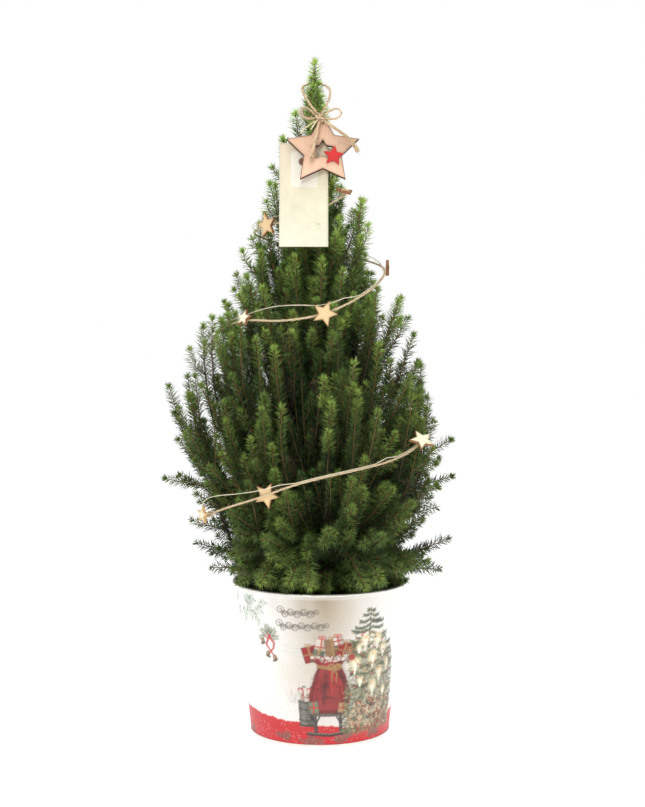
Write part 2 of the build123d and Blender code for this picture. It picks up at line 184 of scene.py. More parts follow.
def finish_of(name, colour=None, rough=(0.5, 0.6), scale=400, amount=0.15, bump=0.0, bump_scale=None,
              stretch=(1, 1, 1), **constants):
    """A material from a flat colour, or from the tint painted on the piece, broken up by noise and bump."""
    m, nt, bsdf = new_material(name)
    noise = value_noise(nt, scale, 6, stretch)
    mix = nt.nodes.new("ShaderNodeMix")
    mix.data_type = "RGBA"
    mix.blend_type = "MULTIPLY"
    mix.inputs["Factor"].default_value = 1.0
    if colour is None:
        tint = nt.nodes.new("ShaderNodeVertexColor")
        tint.layer_name = "tint"
        nt.links.new(tint.outputs["Color"], mix.inputs[6])
    else:
        mix.inputs[6].default_value = (*colour, 1)
    shade = nt.nodes.new("ShaderNodeCombineColor")
    level = ranged(nt, noise.outputs["Fac"], 1 - amount, 1 + amount)
    for k in range(3):
        nt.links.new(level, shade.inputs[k])
    nt.links.new(shade.outputs["Color"], mix.inputs[7])
    nt.links.new(mix.outputs[2], bsdf.inputs["Base Color"])
    nt.links.new(ranged(nt, noise.outputs["Fac"], *rough), bsdf.inputs["Roughness"])
    if bump:
        grain = value_noise(nt, bump_scale or scale * 2, 4, stretch)
        b = nt.nodes.new("ShaderNodeBump")
        b.inputs["Strength"].default_value = bump
        b.inputs["Distance"].default_value = 0.0003
        nt.links.new(grain.outputs["Fac"], b.inputs["Height"])
        nt.links.new(b.outputs["Normal"], bsdf.inputs["Normal"])
    for key, value in constants.items():
        bsdf.inputs[key.replace("_", " ")].default_value = value
    return m


NEEDLE = finish_of("needle_green", rough=(0.38, 0.55), scale=900, amount=0.18)
NEEDLE.node_tree.nodes["Principled BSDF"].inputs["Specular IOR Level"].default_value = 0.35
BARK = finish_of("twig_bark", rough=(0.75, 0.95), scale=700, amount=0.3, bump=0.5)
TRUNK = finish_of("trunk_bark", linear(104, 78, 56), (0.8, 0.95), 260, 0.4, 0.8, stretch=(1, 1, 0.4))
JUTE = finish_of("jute_twine", rough=(0.8, 0.95), scale=1500, amount=0.16, bump=0.3)
STRING = finish_of("white_string", rough=(0.7, 0.85), scale=1500, amount=0.1, bump=0.3)
PLY = finish_of("laser_cut_ply", rough=(0.55, 0.7), scale=500, amount=0.07, bump=0.25, stretch=(3, 3, 0.35))
STAR_WOOD = finish_of("pale_wood", rough=(0.5, 0.65), scale=420, amount=0.09, bump=0.2, stretch=(3, 3, 0.5))
RED = finish_of("red_satin_paint", rough=(0.3, 0.42), scale=600, amount=0.06, bump=0.12, Coat_Weight=0.2)
CARD = finish_of("pearl_card", rough=(0.4, 0.52), scale=160, amount=0.035, bump=0.08)
PAPER = finish_of("label_paper", rough=(0.55, 0.7), scale=900, amount=0.02, bump=0.05)
PRINT = finish_of("litho_print", rough=(0.42, 0.52), scale=700, amount=0.035, bump=0.04, Coat_Weight=0.18,
                  Coat_Roughness=0.28)
TIN = finish_of("tin_plate", linear(228, 226, 220), (0.28, 0.4), 90, 0.06, 0.05, Metallic=0.85)
RIM = finish_of("rolled_rim", linear(240, 238, 232), (0.25, 0.38), 300, 0.05, 0.05, Metallic=0.6)
POT = finish_of("pot_plastic", linear(30, 29, 28), (0.42, 0.55), 300, 0.15, 0.15)
SOIL = finish_of("potting_soil", linear(52, 38, 28), (0.9, 1.0), 500, 0.5, 1.0)
CRUMBS = finish_of("soil_crumbs", rough=(0.9, 1.0), scale=900, amount=0.35, bump=0.5)

CAD_FINISH = {"tin_wall": TIN, "tin_base": TIN, "rim_wire": RIM, "liner_pot": POT, "root_ball": SOIL,
              "trunk": TRUNK}
for node_name, material in CAD_FINISH.items():
    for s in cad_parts[node_name].material_slots:
        s.material = material


# ---------------------------------------------------------------- cords
def nurbs_points(route, step):
    """Points every step mm along the round-cornered route through the given points, in mm."""
    cu = bpy.data.curves.new("route", "CURVE")
    cu.dimensions = "3D"
    sp = cu.splines.new("NURBS")
    sp.points.add(len(route) - 1)
    for p, co in zip(sp.points, route):
        p.co = (*[float(c) * MM for c in co], 1)
    sp.order_u = 3
    sp.use_endpoint_u = True
    cu.resolution_u = 16
    ob = bpy.data.objects.new("route", cu)
    scene.collection.objects.link(ob)
    bpy.context.view_layer.update()
    me = bpy.data.meshes.new_from_object(ob.evaluated_get(bpy.context.evaluated_depsgraph_get()))
    pts = np.array([v.co[:] for v in me.vertices]) / MM
    bpy.data.objects.remove(ob)
    bpy.data.meshes.remove(me)
    bpy.data.curves.remove(cu)
    run = np.concatenate([[0], np.cumsum(np.linalg.norm(np.diff(pts, axis=0), axis=1))])
    s = np.linspace(0, run[-1], max(4, int(run[-1] / step)))
    return np.stack([np.interp(s, run, pts[:, k]) for k in range(3)], -1)


def rope(shape, path, diameter, plies, pitch, tint, seed, sides=6, flat=1.0, spread=None):
    """Twisted strands along a path. spread is an extra width for each point, where the rope frays open."""
    t, u, v = frames_along(path)
    step = np.linalg.norm(np.diff(path, axis=0), axis=1)
    s = np.concatenate([[0], np.cumsum(step)])
    open_by = np.ones(len(path)) if spread is None else spread
    r = np.random.default_rng(seed)
    for k in range(plies):
        turn = 2 * math.pi * (s / pitch + k / plies) + 0.4 * wave(s / 14, seed + k)
        off = diameter * 0.24 * open_by * (1 + 0.18 * wave(s / 9, seed + 7 * k))
        centre = path + off[:, None] * (np.cos(turn)[:, None] * u + flat * np.sin(turn)[:, None] * v)
        radius = diameter * 0.27 * (1 + 0.14 * wave(s / 5, seed + 31 + k))
        verts, faces = tube(centre, radius, sides, (t, u, v))
        shade = (1 + 0.16 * wave(s / 6, seed + 3 * k) + 0.1 * wave(s / 40, seed + 5 * k)
                 + r.uniform(-0.06, 0.06))
        shade = np.concatenate([np.repeat(shade, sides), [shade[0], shade[-1]]])
        shape.add(verts, faces, tint * shade[:, None])


def fuzz(shape, path, diameter, each_mm, length, tint, seed, width=0.11, along=0.6):
    """Loose fibres that stand off a rope."""
    t, u, v = frames_along(path)
    r = np.random.default_rng(seed)
    run = np.linalg.norm(np.diff(path, axis=0), axis=1).sum()
    for _ in range(int(run / each_mm)):
        i = r.integers(0, len(path))
        a = r.uniform(0, 2 * math.pi)
        out = math.cos(a) * u[i] + math.sin(a) * v[i]
        side = unit(np.cross(out, t[i]))
        reach = length * r.uniform(0.35, 1.0)
        go = t[i] * r.choice([-1, 1]) * along
        curl = side * r.uniform(-0.5, 0.5)
        w = np.linspace(0, 1, 5)[:, None]
        line = path[i] + out * diameter * 0.42 + reach * (w * unit(out * 0.55 + go) + w * w * curl * 0.6)
        verts, faces = tube(line, width * np.array([1, 0.9, 0.8, 0.6, 0.3]), 3)
        shape.add(verts, faces, tint * r.uniform(0.8, 1.2))


JUTE_TINT = linear(206, 185, 150)
PALE_JUTE = linear(212, 186, 150)
STRING_TINT = linear(226, 216, 190)
AXIS_X = -6
GARLAND = [
    (-56, 122, 222), (-40, 124, 233), (-23, 124.5, 244), (-8, 126, 257), (6, 128, 265), (20, 129, 271),
    (35, 128, 277), (50, 128, 288), (66, 116, 300), (83, 111.5, 312), (101, 113, 320), (119, 116, 326),
    (137, 118, 333), (155, 120, 340), (173, 121, 348), (191, 119, 357), (210, 116, 362), (229, 110, 367),
    (248, 105, 373), (266, 101, 381), (285, 98, 391), (303, 97, 401), (322, 98, 406), (338, 97, 404),
    (353, 97, 406), (367, 98, 411), (383, 93, 422), (402, 86, 436), (424, 76, 448), (449, 70, 456),
    (473, 69, 462), (497, 68, 468), (520, 67, 474), (544, 66, 479), (568, 64, 483), (592, 62, 487),
    (616, 60, 490), (640, 59, 492), (663, 58, 494), (685, 57, 497), (706, 54, 502), (723, 51.5, 508),
    (739, 52, 515), (755, 53, 524),
]
THREAD = [
    (-57, 126, 230), (-52, 129, 239), (-43, 129, 244), (-32, 127.5, 247), (-20, 127.5, 252), (-7, 128, 262),
    (7, 131, 270), (21, 131, 276), (35, 128, 282), (46, 124, 288), (58, 123.5, 296.5), (73, 116, 308.5),
    (89, 113, 318.5), (106, 115, 327), (124, 114.5, 333.5), (142, 114, 341), (160, 118, 348),
    (178, 118, 356), (197, 114, 362.5), (216, 112, 368), (235, 107, 374), (254, 102, 381), (272, 99, 389.5),
    (290, 96, 399), (307, 93.5, 406.5), (322, 91.5, 412.5), (338, 97, 418), (352, 96, 419), (366, 94, 418),
    (381, 92, 427), (398, 87, 439), (417, 78, 451), (436, 68, 459), (459, 65, 463), (483, 68, 470),
    (505, 65, 477), (528, 62, 481), (552, 66, 486), (576, 66, 490), (600, 64, 494), (624, 62, 497),
    (647, 58, 500), (669, 54, 503), (690, 52.5, 505), (709, 50.5, 509), (724, 48.5, 515), (738, 48.5, 521),
]


def wound(points):
    return [around(az, r, z, AXIS_X) for az, r, z in points]


def hugging(path, core, spans):
    """The path drawn in to touch the core line, on the spans given as shares of its length."""
    near = np.array([core[np.argmin(((core - p) ** 2).sum(1))] for p in path])
    off = path - near
    d = np.linalg.norm(off, axis=1, keepdims=True)
    q = np.linspace(0, 1, len(path))
    w = np.ones(len(path))
    for a, b in spans:
        w = np.minimum(w, np.clip(np.maximum(a - q, q - b) / 0.012, 0, 1))
    w = w[:, None]
    return near + off * (w + (1 - w) * np.minimum(1, 1.5 / d))


def cord_piece(name, route, diameter, plies, pitch, tint, material, seed, node, slot,
               fibres=(1.4, 3.5), body="planting", flat=1.0, spread=None, with_pieces=(), step=0.6, ends=0,
               hug=None, tuft=0):
    path = nurbs_points(route, step)
    if hug is not None:
        path = hugging(path, *hug)
    shape = Shape()
    opened = None
    if spread is not None:
        opened = np.interp(np.linspace(0, 1, len(path)), *spread)
    rope(shape, path, diameter, plies, pitch, tint, seed, flat=flat, spread=opened)
    ob = shape.piece(name, material, body, slot, node)
    loose = Shape()
    fuzz(loose, path, diameter, fibres[0], fibres[1], tint, seed + 1)
    if ends:
        fuzz(loose, path[-int(5 / step):], diameter, 0.12, ends, tint, seed + 2, along=1.6)
    if tuft:
        fuzz(loose, path[:int(7 / step)], diameter, 0.05, tuft, tint * 1.3, seed + 3, width=0.2, along=1.2)
    with_pieces = [*with_pieces, loose.piece(f"{name}_fibres", material, body, slot)]
    return ob, path


# ---------------------------------------------------------------- flat cut pieces
def star_loop(outer, inner, roll, centre=(0, 0)):
    k = np.arange(10)
    a = np.radians(roll + 36 * k)
    r = np.where(k % 2 == 0, outer, inner)
    return np.stack([centre[0] + r * np.cos(a), centre[1] + r * np.sin(a)], -1)


def circle_loop(centre, r, n=20):
    a = np.arange(n) * 2 * math.pi / n
    return np.stack([centre[0] + r * np.cos(a), centre[1] + r * np.sin(a)], -1)


def box_loop(centre, w, h):
    x, y = w / 2, h / 2
    return np.array([(-x, -y), (x, -y), (x, y), (-x, y)]) + centre


def inset(loop, by):
    """The loop moved inward by a distance, for a loop that runs counter-clockwise."""
    before = unit(loop - np.roll(loop, 1, 0))
    after = unit(np.roll(loop, -1, 0) - loop)
    n1 = np.stack([-before[:, 1], before[:, 0]], -1)
    n2 = np.stack([-after[:, 1], after[:, 0]], -1)
    mid = unit(n1 + n2)
    return loop + mid * (by / np.maximum((mid * n1).sum(-1, keepdims=True), 0.35))


def edge_distance(p, loops):
    best = np.full(len(p), 1e9)
    for loop in loops:
        a = loop
        d = np.roll(loop, -1, 0) - loop
        w = p[:, None, :] - a[None]
        s = np.clip((w * d[None]).sum(-1) / (d * d).sum(-1)[None], 0, 1)
        best = np.minimum(best, np.linalg.norm(w - s[..., None] * d[None], axis=-1).min(1))
    return best


def inside(p, loops):
    hit = np.zeros(len(p), bool)
    for loop in loops:
        a, b = loop, np.roll(loop, -1, 0)
        y = p[:, None, 1]
        crosses = (a[None, :, 1] > y) != (b[None, :, 1] > y)
        dy = np.where(np.abs(b[:, 1] - a[:, 1]) < 1e-9, 1e-9, b[:, 1] - a[:, 1])
        x = a[None, :, 0] + (y - a[None, :, 1]) * (b - a)[None, :, 0] / dy[None]
        hit ^= (crosses & (p[:, None, 0] < x)).sum(1) % 2 == 1
    return hit


def plate(shape, loops, place, back, front, grid, painter, side, bevel=0.3):
    """A flat piece cut to the loops, the outline and then holes, at the points place(u, v, f) gives."""
    fine = []
    for loop in loops:
        nxt = np.roll(loop, -1, 0)
        pts = []
        for a, b in zip(loop, nxt):
            n = max(1, int(np.linalg.norm(b - a) / grid))
            pts += [a + (b - a) * k / n for k in range(n)]
        fine.append(np.array(pts))
    ins = [inset(l, bevel) if k == 0 else inset(l[::-1], -bevel)[::-1] for k, l in enumerate(fine)]
    lo, hi = ins[0].min(0), ins[0].max(0)
    gx, gy = np.meshgrid(np.arange(lo[0] + grid / 2, hi[0], grid), np.arange(lo[1] + grid / 2, hi[1], grid))
    fill = np.stack([gx.ravel(), gy.ravel()], -1)
    fill = fill[inside(fill, ins) & (edge_distance(fill, ins) > grid * 0.45)]
    flat = np.concatenate([*ins, fill])
    edges, start = [], 0
    for l in ins:
        n = len(l)
        edges += [(start + k, start + (k + 1) % n) for k in range(n)]
        start += n
    vs, _, tris, *_ = delaunay_2d_cdt([tuple(p) for p in flat], edges, [], 0, 1e-6)
    vs = np.array([v[:] for v in vs])
    tris = np.array(tris)
    tris = tris[inside(vs[tris].mean(1), ins)]
    d = edge_distance(vs, fine)
    shape.add(place(vs[:, 0], vs[:, 1], np.full(len(vs), front)), tris, painter(vs, d, True))
    shape.add(place(vs[:, 0], vs[:, 1], np.full(len(vs), back)), tris[:, ::-1], painter(vs, d, False))
    drop = min(bevel, (front - back) / 3)
    for k, (l, i) in enumerate(zip(fine, ins)):
        rings = [(i, front), (l, front - drop), (l, (front + back) / 2), (l, back + drop), (i, back)]
        verts = np.concatenate([place(r[:, 0], r[:, 1], np.full(len(r), f)) for r, f in rings])
        faces = grid_faces(5, len(l), True)
        n = len(l)
        mean = painter(i, np.zeros(n), True)
        tint = np.concatenate([mean, np.tile(side, (n, 1)), np.tile(side * 1.25, (n, 1)),
                               np.tile(side, (n, 1)), mean])
        shape.add(verts, faces[:, ::-1] if k == 0 else faces, tint)


def star_painter(seed, tone, scorch=0.9, grain_along=(1, 0)):
    def paint(p, d, front):
        g = p @ np.array([grain_along[1], -grain_along[0]])
        h = p @ np.array(grain_along)
        lines = 1 + 0.05 * wave(g * 2.6 + 0.15 * h, seed, (1, 2.7, 6.1)) + 0.03 * wave(h / 3 + g, seed + 1)
        toast = np.exp(-d / 0.7)[:, None] * scorch
        clean = tone * lines[:, None]
        return clean * (1 - toast) + toast * linear(120, 78,
                                                    44) if front else clean * 0.9 * (1 - 0.6 * toast)
    return paint


LARGE, SMALL, THICK = (12.5, 5.9), (8.5, 4.0), 3.0
STARS = [
    (1, -53, 122.2, 224, -50, 0, 12, SMALL, 5.5), (2, -20.5, 124.3, 246, -19, 0, -5, LARGE, -5.9),
    (3, 51.5, 127.3, 289, 15, 48, 36, LARGE, 5.2), (4, 137, 117.3, 333, 137, 5, 20, LARGE, 1.4),
    (5, 191, 118.3, 357, 191, -6, 0, LARGE, 1.4), (6, 320, 97.2, 406, -38, 22, 15, SMALL, 1.4),
    (7, 366, 97.3, 411, 6, 0, -3, LARGE, 1.4), (8, 449, 69.3, 456, 90, 0, 18, SMALL, 1.4),
    (9, 520, 66.4, 474, 160, 4, 40, LARGE, 1.4), (10, 673, 57.6, 495.4, -42, 0, 30, LARGE, 1.4),
    (11, 753, 52.4, 523, 30, 68, 0, SMALL, 3.0),
]
star_pieces = []
for number, az, r, z, facing, tilt, roll, size, standoff in STARS:
    f, t = math.radians(facing), math.radians(tilt)
    normal = np.array([math.sin(f) * math.cos(t), -math.cos(f) * math.cos(t), math.sin(t)])
    across = np.array([math.cos(f), math.sin(f), 0.0])
    up = np.cross(normal, across)
    origin = around(az, r, z, AXIS_X) + normal * standoff

    def star_point(u, v, w, o=origin, a=across, b=up, n=normal):
        return o + u[:, None] * a + v[:, None] * b + w[:, None] * n

    star = Shape()
    tone = {3: linear(255, 250, 214), 6: linear(255, 250, 220),
            1: linear(250, 236, 196)}.get(number, linear(233, 203, 152))
    plate(star, [star_loop(*size, roll)], star_point, 0, THICK, 1.3, star_painter(number, tone, 0.75),
          linear(206, 168, 112) if number == 1 else linear(140, 92, 54), 0.35)
    star_pieces.append(star.piece(f"wooden_star_{number}", STAR_WOOD, f"garland_star_{number}",
                                  "light_wood", (f"garland_star_{number}",), smooth=False))

# ---------------------------------------------------------------- garland
_, garland_path = cord_piece(
    "jute_garland", wound(GARLAND), 2.0, 3, 7.5, JUTE_TINT, JUTE, 5, ("garland_cord",), "jute",
    fibres=(1.6, 4.0), with_pieces=star_pieces, ends=6, tuft=9)
cord_piece(
    "white_string_wrap", wound(THREAD), 0.9, 2, 4.0, STRING_TINT, STRING, 9, ("garland_thread",), "string",
    fibres=(6.0, 2.5), step=0.7,
    hug=(garland_path, [(0.09, 0.15), (0.17, 0.235), (0.69, 0.735)]))

# ---------------------------------------------------------------- tag, red star, card
KNOT = np.array([0.0, -36.0, 596.0])
LEAN = math.radians(16.5)


def tag_point(u, v, f):
    u, v, f = np.asarray(u, float), np.asarray(v, float), np.asarray(f, float)
    return np.stack([KNOT[0] + u,
                     KNOT[1] + v * math.sin(LEAN) - f * math.cos(LEAN),
                     KNOT[2] + v * math.cos(LEAN) + f * math.sin(LEAN)], -1)


TAG_CENTRE = (2.85, -32)
tag_loops = [star_loop(36.3, 18.8, 90, TAG_CENTRE), star_loop(10.8, 6.0, 90, TAG_CENTRE),
             circle_loop((2.85, -4.6), 1.4)]


def tag_paint(p, d, front):
    base = linear(221, 182, 152)
    lines = 1 + 0.035 * wave(p[:, 0] * 2.2 + 0.08 * p[:, 1], 4,
                             (1, 2.9, 7.3)) + 0.03 * wave(p[:, 1] / 9 + p[:, 0] / 5, 6)
    toast = np.exp(-d / 0.55)[:, None] * 0.9 + np.exp(-d / 2.4)[:, None] * 0.12
    rgb = base * lines[:, None]
    for u, v, s in [(-5.5, -20, 0.8), (-2, -20.5, 1.0), (-6.5, -12, 0.6), (19, -25, 0.5)]:
        spot = np.exp(-((p[:, 0] - u) ** 2 + (p[:, 1] - v) ** 2) / s ** 2)[:, None]
        rgb = rgb * (1 - 0.6 * spot)
    toast = np.clip(toast, 0, 1)
    rgb = rgb * (1 + 0.25 * np.clip((-p[:, 1] - 38) / 20, 0, 1)
                 - 0.14 * np.clip((p[:, 0] - 8) / 18, 0, 1))[:, None]
    return rgb * (1 - toast) + toast * linear(84, 52, 36) if front else rgb * 0.85


tag = Shape()
plate(tag, tag_loops, tag_point, -1.5, 1.5, 0.9, tag_paint, linear(58, 36, 28), 0.3)
tag.piece("ply_star_tag", PLY, "star_tag", "burnt_plywood", ("star_tag",), smooth=False)

red = Shape()


def red_paint(p, d, front):
    low = np.clip(-(p[:, 1] + 38.5) / 12, 0, 1)[:, None]
    rim = np.exp(-d / 0.5)[:, None]
    return linear(205, 20, 16) * (1 - 0.12 * low - 0.22 * rim)


plate(red, [star_loop(10.4, 5.0, 84, (13, -38.5))], tag_point, 1.5, 3.5, 0.9, red_paint,
      linear(168, 20, 28), 0.4)
red.piece("red_star_cutout", RED, "star_tag", "red_paint", ("red_star",), smooth=False)


def card_place(u, v, f):
    bow = 0.9 * np.sin(np.clip((-v - 22) / 104, 0, 1) * math.pi)
    return tag_point(u, v, f - bow * 0.6)


def card_paint(p, d, front):
    down = np.clip((-p[:, 1] - 22.5) / 104, 0, 1)[:, None]
    top, middle, low = linear(219, 204, 176), linear(222, 214, 185), linear(227, 226, 203)
    rgb = np.where(down < 0.5, top + (middle - top) * down * 2, middle + (low - middle) * (down * 2 - 1))
    cloud = wave(p[:, 0] / 7 + 0.4 * wave(p[:, 1] / 11, 3), 8)[:, None] * wave(p[:, 1] / 9, 5)[:, None]
    rgb = rgb * (1 + 0.07 * cloud)
    return rgb * (1 - 0.25 * np.exp(-d / 0.5)[:, None])


card = Shape()
plate(card, [box_loop((-15, -74.5), 46, 104), circle_loop((-15, -26.6), 1.8)], card_place, -5, -4.5, 2.0,
      card_paint, linear(214, 200, 160), 0.12)
card.piece("gift_card", CARD, "card", "card_stock", ("card",), smooth=False)
label = Shape()


def label_paint(p, d, front):
    fibre = 1 + 0.012 * wave(p[:, 0] * 1.7 + p[:, 1] * 0.6, 15)
    seal = np.clip(4.4 - np.hypot(p[:, 0] + 16.1, (p[:, 1] + 41.4) * 0.95), 0, 1)[:, None]
    rgb = linear(232, 225, 208) * fibre[:, None] * (1 - 0.1 * np.exp(-d / 0.4)[:, None])
    return rgb * (1 - seal) + seal * linear(122, 82, 58)


plate(label, [box_loop((-14.5, -49), 26, 37)], card_place, -4.5, -4.35, 0.8, label_paint,
      linear(225, 222, 212), 0.04)
label.piece("plain_label", PAPER, "card", "label_paper", ("card_label",), smooth=False)

# ---------------------------------------------------------------- knot, loop, bow, tails, card tie
knot = Shape()
for k, (axis_turn, size_a, size_b,
        lift) in enumerate([(8, 3.7, 2.9, 0.9), (-28, 3.9, 2.7, -0.7), (74, 3.1, 2.5, 0.2)]):
    a = np.linspace(0, 2 * math.pi, 60)
    c, s = math.cos(math.radians(axis_turn)), math.sin(math.radians(axis_turn))
    lu, lv = size_a * np.cos(a), lift + 0.9 * np.sin(2 * a + k)
    ring = tag_point(c * lu - s * lv, -1 + s * lu + c * lv, 5.4 + size_b * 0.75 * np.sin(a))
    rope(knot, ring, 2.3, 3, 6.0, PALE_JUTE, 40 + k)
    fuzz(knot, ring, 2.3, 0.8, 3.0, PALE_JUTE, 50 + k)
# a darker core under the wraps: painted shade in the gaps between them
core_a, core_f = np.meshgrid(np.linspace(0, 2 * math.pi, 16, endpoint=False), np.linspace(-1.4, 1.4, 7))
core = tag_point((3.2 * np.cos(core_f) * np.cos(core_a)).ravel(),
                 -1 + (2.6 * np.cos(core_f) * np.sin(core_a)).ravel(), 5.4 + (2.1 * np.sin(core_f)).ravel())
knot.add(core, grid_faces(7, 16, True)[:, ::-1], PALE_JUTE * 0.7)
through = tag_point(np.array([2.85, 2.5, 1.8, 1.2]), np.array([-4.6, -4.6, -4.0, -3.0]),
                    np.array([-3.0, 0.0, 3.0, 5.4]))
rope(knot, np.stack([np.interp(np.linspace(0, 3, 24), range(4), through[:, k]) for k in range(3)], -1), 2.1,
     3, 6.0, PALE_JUTE, 60)
knot.piece("twine_wraps", JUTE, "planting", "jute", ("twine_knot",))

LOOP = [(-1.7, -40, 600.3), (-7, -34, 607), (-13, -22, 618), (-18, -7, 628), (-15, 6, 635), (-6, 12, 638),
        (4, 8, 636), (10, -5, 630), (10, -20, 620), (6, -33, 608), (1.9, -40, 600.3)]
cord_piece("hanging_loop", LOOP, 2.1, 3, 7.0, PALE_JUTE, JUTE, 71, ("twine_hanging_loop",), "jute",
           fibres=(0.7, 4.0), step=0.5)


def on_tag(points):
    u, v, f = np.array(points, float).T
    return tag_point(u, v, f)


BOW_RIGHT = [(4.9, 1.3, 7), (10, 5, 8), (16.5, 7.5, 8.4), (21.5, 3, 8), (17.5, -2.5, 7), (10.5, -3.2, 6.2),
             (5.1, -1.8, 5.6)]
BOW_LEFT = [(-4.9, 1.3, 7), (-9, 6, 8), (-14, 8.5, 8.4), (-19, 4, 8), (-15.5, -1.5, 7), (-10, -3, 6.2),
            (-5.1, -1.8, 5.6)]
TAIL_RIGHT = [(4.4, -4.6, 5.8), (10, -9, 6.4), (18, -15, 6.2), (25, -20, 5.8), (31, -27, 5.4),
              (36, -35, 5.2)]
TAIL_FACE = [(-0.6, -5.5, 5.6), (-2.5, -14, 6.2), (-4, -24, 6.4), (-6.5, -34, 6.2), (-8.5, -43, 6.0)]
TAIL_LEFT = [(-4.4, -4.6, 5.4), (-9.5, -9, 6.2), (-14.5, -12.5, 6.2), (-18, -17.5, 5.8)]
TAIL_SHORT = [(-2.4, -4.9, 8.6), (-5.2, -9.5, 9.4), (-8, -15, 9.2)]
CARD_TIE = [(1.2, -6.4, -3.1), (-2.4, -10.5, -3.1), (-6.8, -16, -3.1), (-11.2, -21.4, -3.1),
            (-14.7, -25.7, -3.2), (-15.1, -26.6, -4.9), (-14.6, -25.6, -6.7), (-10.6, -19.6, -7.0),
            (-6, -13.4, -6.8), (-1.5, -8, -5.9), (2.4, -5.0, -4.2)]
cord_piece("bow_loop_right", on_tag(BOW_RIGHT), 2.0, 3, 7.0, PALE_JUTE, JUTE, 81, ("twine_bow",), "jute",
           fibres=(1.0, 2.5), step=0.4)
cord_piece("bow_loop_left", on_tag(BOW_LEFT), 2.0, 3, 7.0, PALE_JUTE * 0.92, JUTE, 83, ("twine_bow",),
           "jute", fibres=(0.25, 4.5), step=0.4)
cord_piece("tail_right", on_tag(TAIL_RIGHT), 2.2, 5, 9.0, PALE_JUTE, JUTE, 85, ("twine_tails",), "jute",
           fibres=(0.4, 3.5), step=0.4,
           spread=([0, 0.4, 0.8, 1], [1.3, 1.8, 2.4, 3.4]), ends=5)
cord_piece("tail_face", on_tag(TAIL_FACE), 2.4, 6, 30.0, PALE_JUTE * 1.08, JUTE, 87, ("twine_tails",),
           "jute", fibres=(0.4, 3.0), step=0.4,
           spread=([0, 0.3, 1], [1.0, 1.6, 2.7]), flat=0.8, ends=5)
cord_piece("tail_left", on_tag(TAIL_LEFT), 1.5, 2, 6.0, linear(232, 220, 178), JUTE, 89, ("twine_tails",),
           "jute", fibres=(1.0, 2.0), step=0.4)
cord_piece("tail_short", on_tag(TAIL_SHORT), 1.5, 2, 6.0, linear(232, 220, 178), JUTE, 91, ("twine_tails",),
           "jute", fibres=(1.0, 2.0), step=0.4)
cord_piece("card_tie", on_tag(CARD_TIE), 1.0, 2, 4.0, PALE_JUTE, JUTE, 93, ("card_tie",), "jute",
           fibres=(2.0, 2.0), step=0.4)

# ---------------------------------------------------------------- wood and shoots
TRUNK_LINE = np.array([(0, 0, 126), (-1, 1, 215), (-3, 0, 320), (-6, 1, 420), (-7, 0, 500), (-6, 0, 570),
                       (-5, 0, 654)], float)
FRONT_EDGE = np.array([(140, 80), (158, 96), (180, 106), (225, 114), (240, 117), (275, 119), (322, 116),
                       (365, 104), (405, 90), (440, 71), (480, 55), (520, 42), (565, 26), (610, 14)], float)
LEFT_EDGE = np.array([(140, 76), (150, 84), (165, 100), (185, 106), (217, 110), (250, 118), (290, 126),
                      (320, 130), (345, 126), (375, 116), (400, 104), (425, 78), (450, 63), (485, 53),
                      (520, 42), (545, 34), (580, 22), (610, 14)], float)
RIGHT_EDGE = np.array([(140, 82), (150, 90), (165, 112), (190, 118), (217, 114), (250, 117), (290, 109),
                       (320, 100), (345, 97), (375, 91), (400, 81), (425, 71), (450, 55), (485, 45),
                       (520, 35), (545, 26), (580, 20), (610, 13)], float)


def crown(az, z):
    """How far the shoot tips reach from the axis."""
    s = math.sin(math.radians(az))
    side = LEFT_EDGE if s < 0 else RIGHT_EDGE
    w = abs(s) ** 1.6
    return (1 - w) * np.interp(z, *FRONT_EDGE.T) + w * np.interp(z, *side.T)


def crown_axis(z):
    return np.interp(z, [120, 320, 420, 600], [0, -3, -5, -5])


def climb(z):
    """How steeply a shoot at this height rises at its tip, in degrees."""
    return np.interp(z, [150, 175, 210, 250, 290, 340, 400, 480, 560, 620],
                     [-8, 8, 26, 48, 68, 78, 81, 82, 83, 85])


TIER_EDGES = [(238, "skirt"), (326, "lower"), (407, "middle"), (480, "upper"), (563, "top")]
SECTORS = {
    "skirt": [("front", -52, 38), ("right", 38, 128), ("back", 128, 218), ("left", 218, 308)],
    "lower": [("front", -58, 45), ("right", 45, 134), ("back", 134, 225), ("left", 225, 302)],
    "middle": [("front", -62, 52), ("right", 52, 168), ("left", 168, 298)],
    "upper": [("right", 0, 180), ("left", 180, 360)],
    "top": [("right", -12, 170), ("left", 170, 348)],
}


def sector_of(p):
    az = math.degrees(math.atan2(p[0] - crown_axis(p[2]), -p[1]))
    for top, tier in TIER_EDGES:
        if p[2] < top:
            for side, a0, a1 in SECTORS[tier]:
                if (az - a0) % 360 < (a1 - a0) % 360:
                    return tier, side
    return "leader", ""


def aim(az, elevation):
    a, e = math.radians(az), math.radians(elevation)
    return np.array([math.sin(a) * math.cos(e), -math.cos(a) * math.cos(e), math.sin(e)])


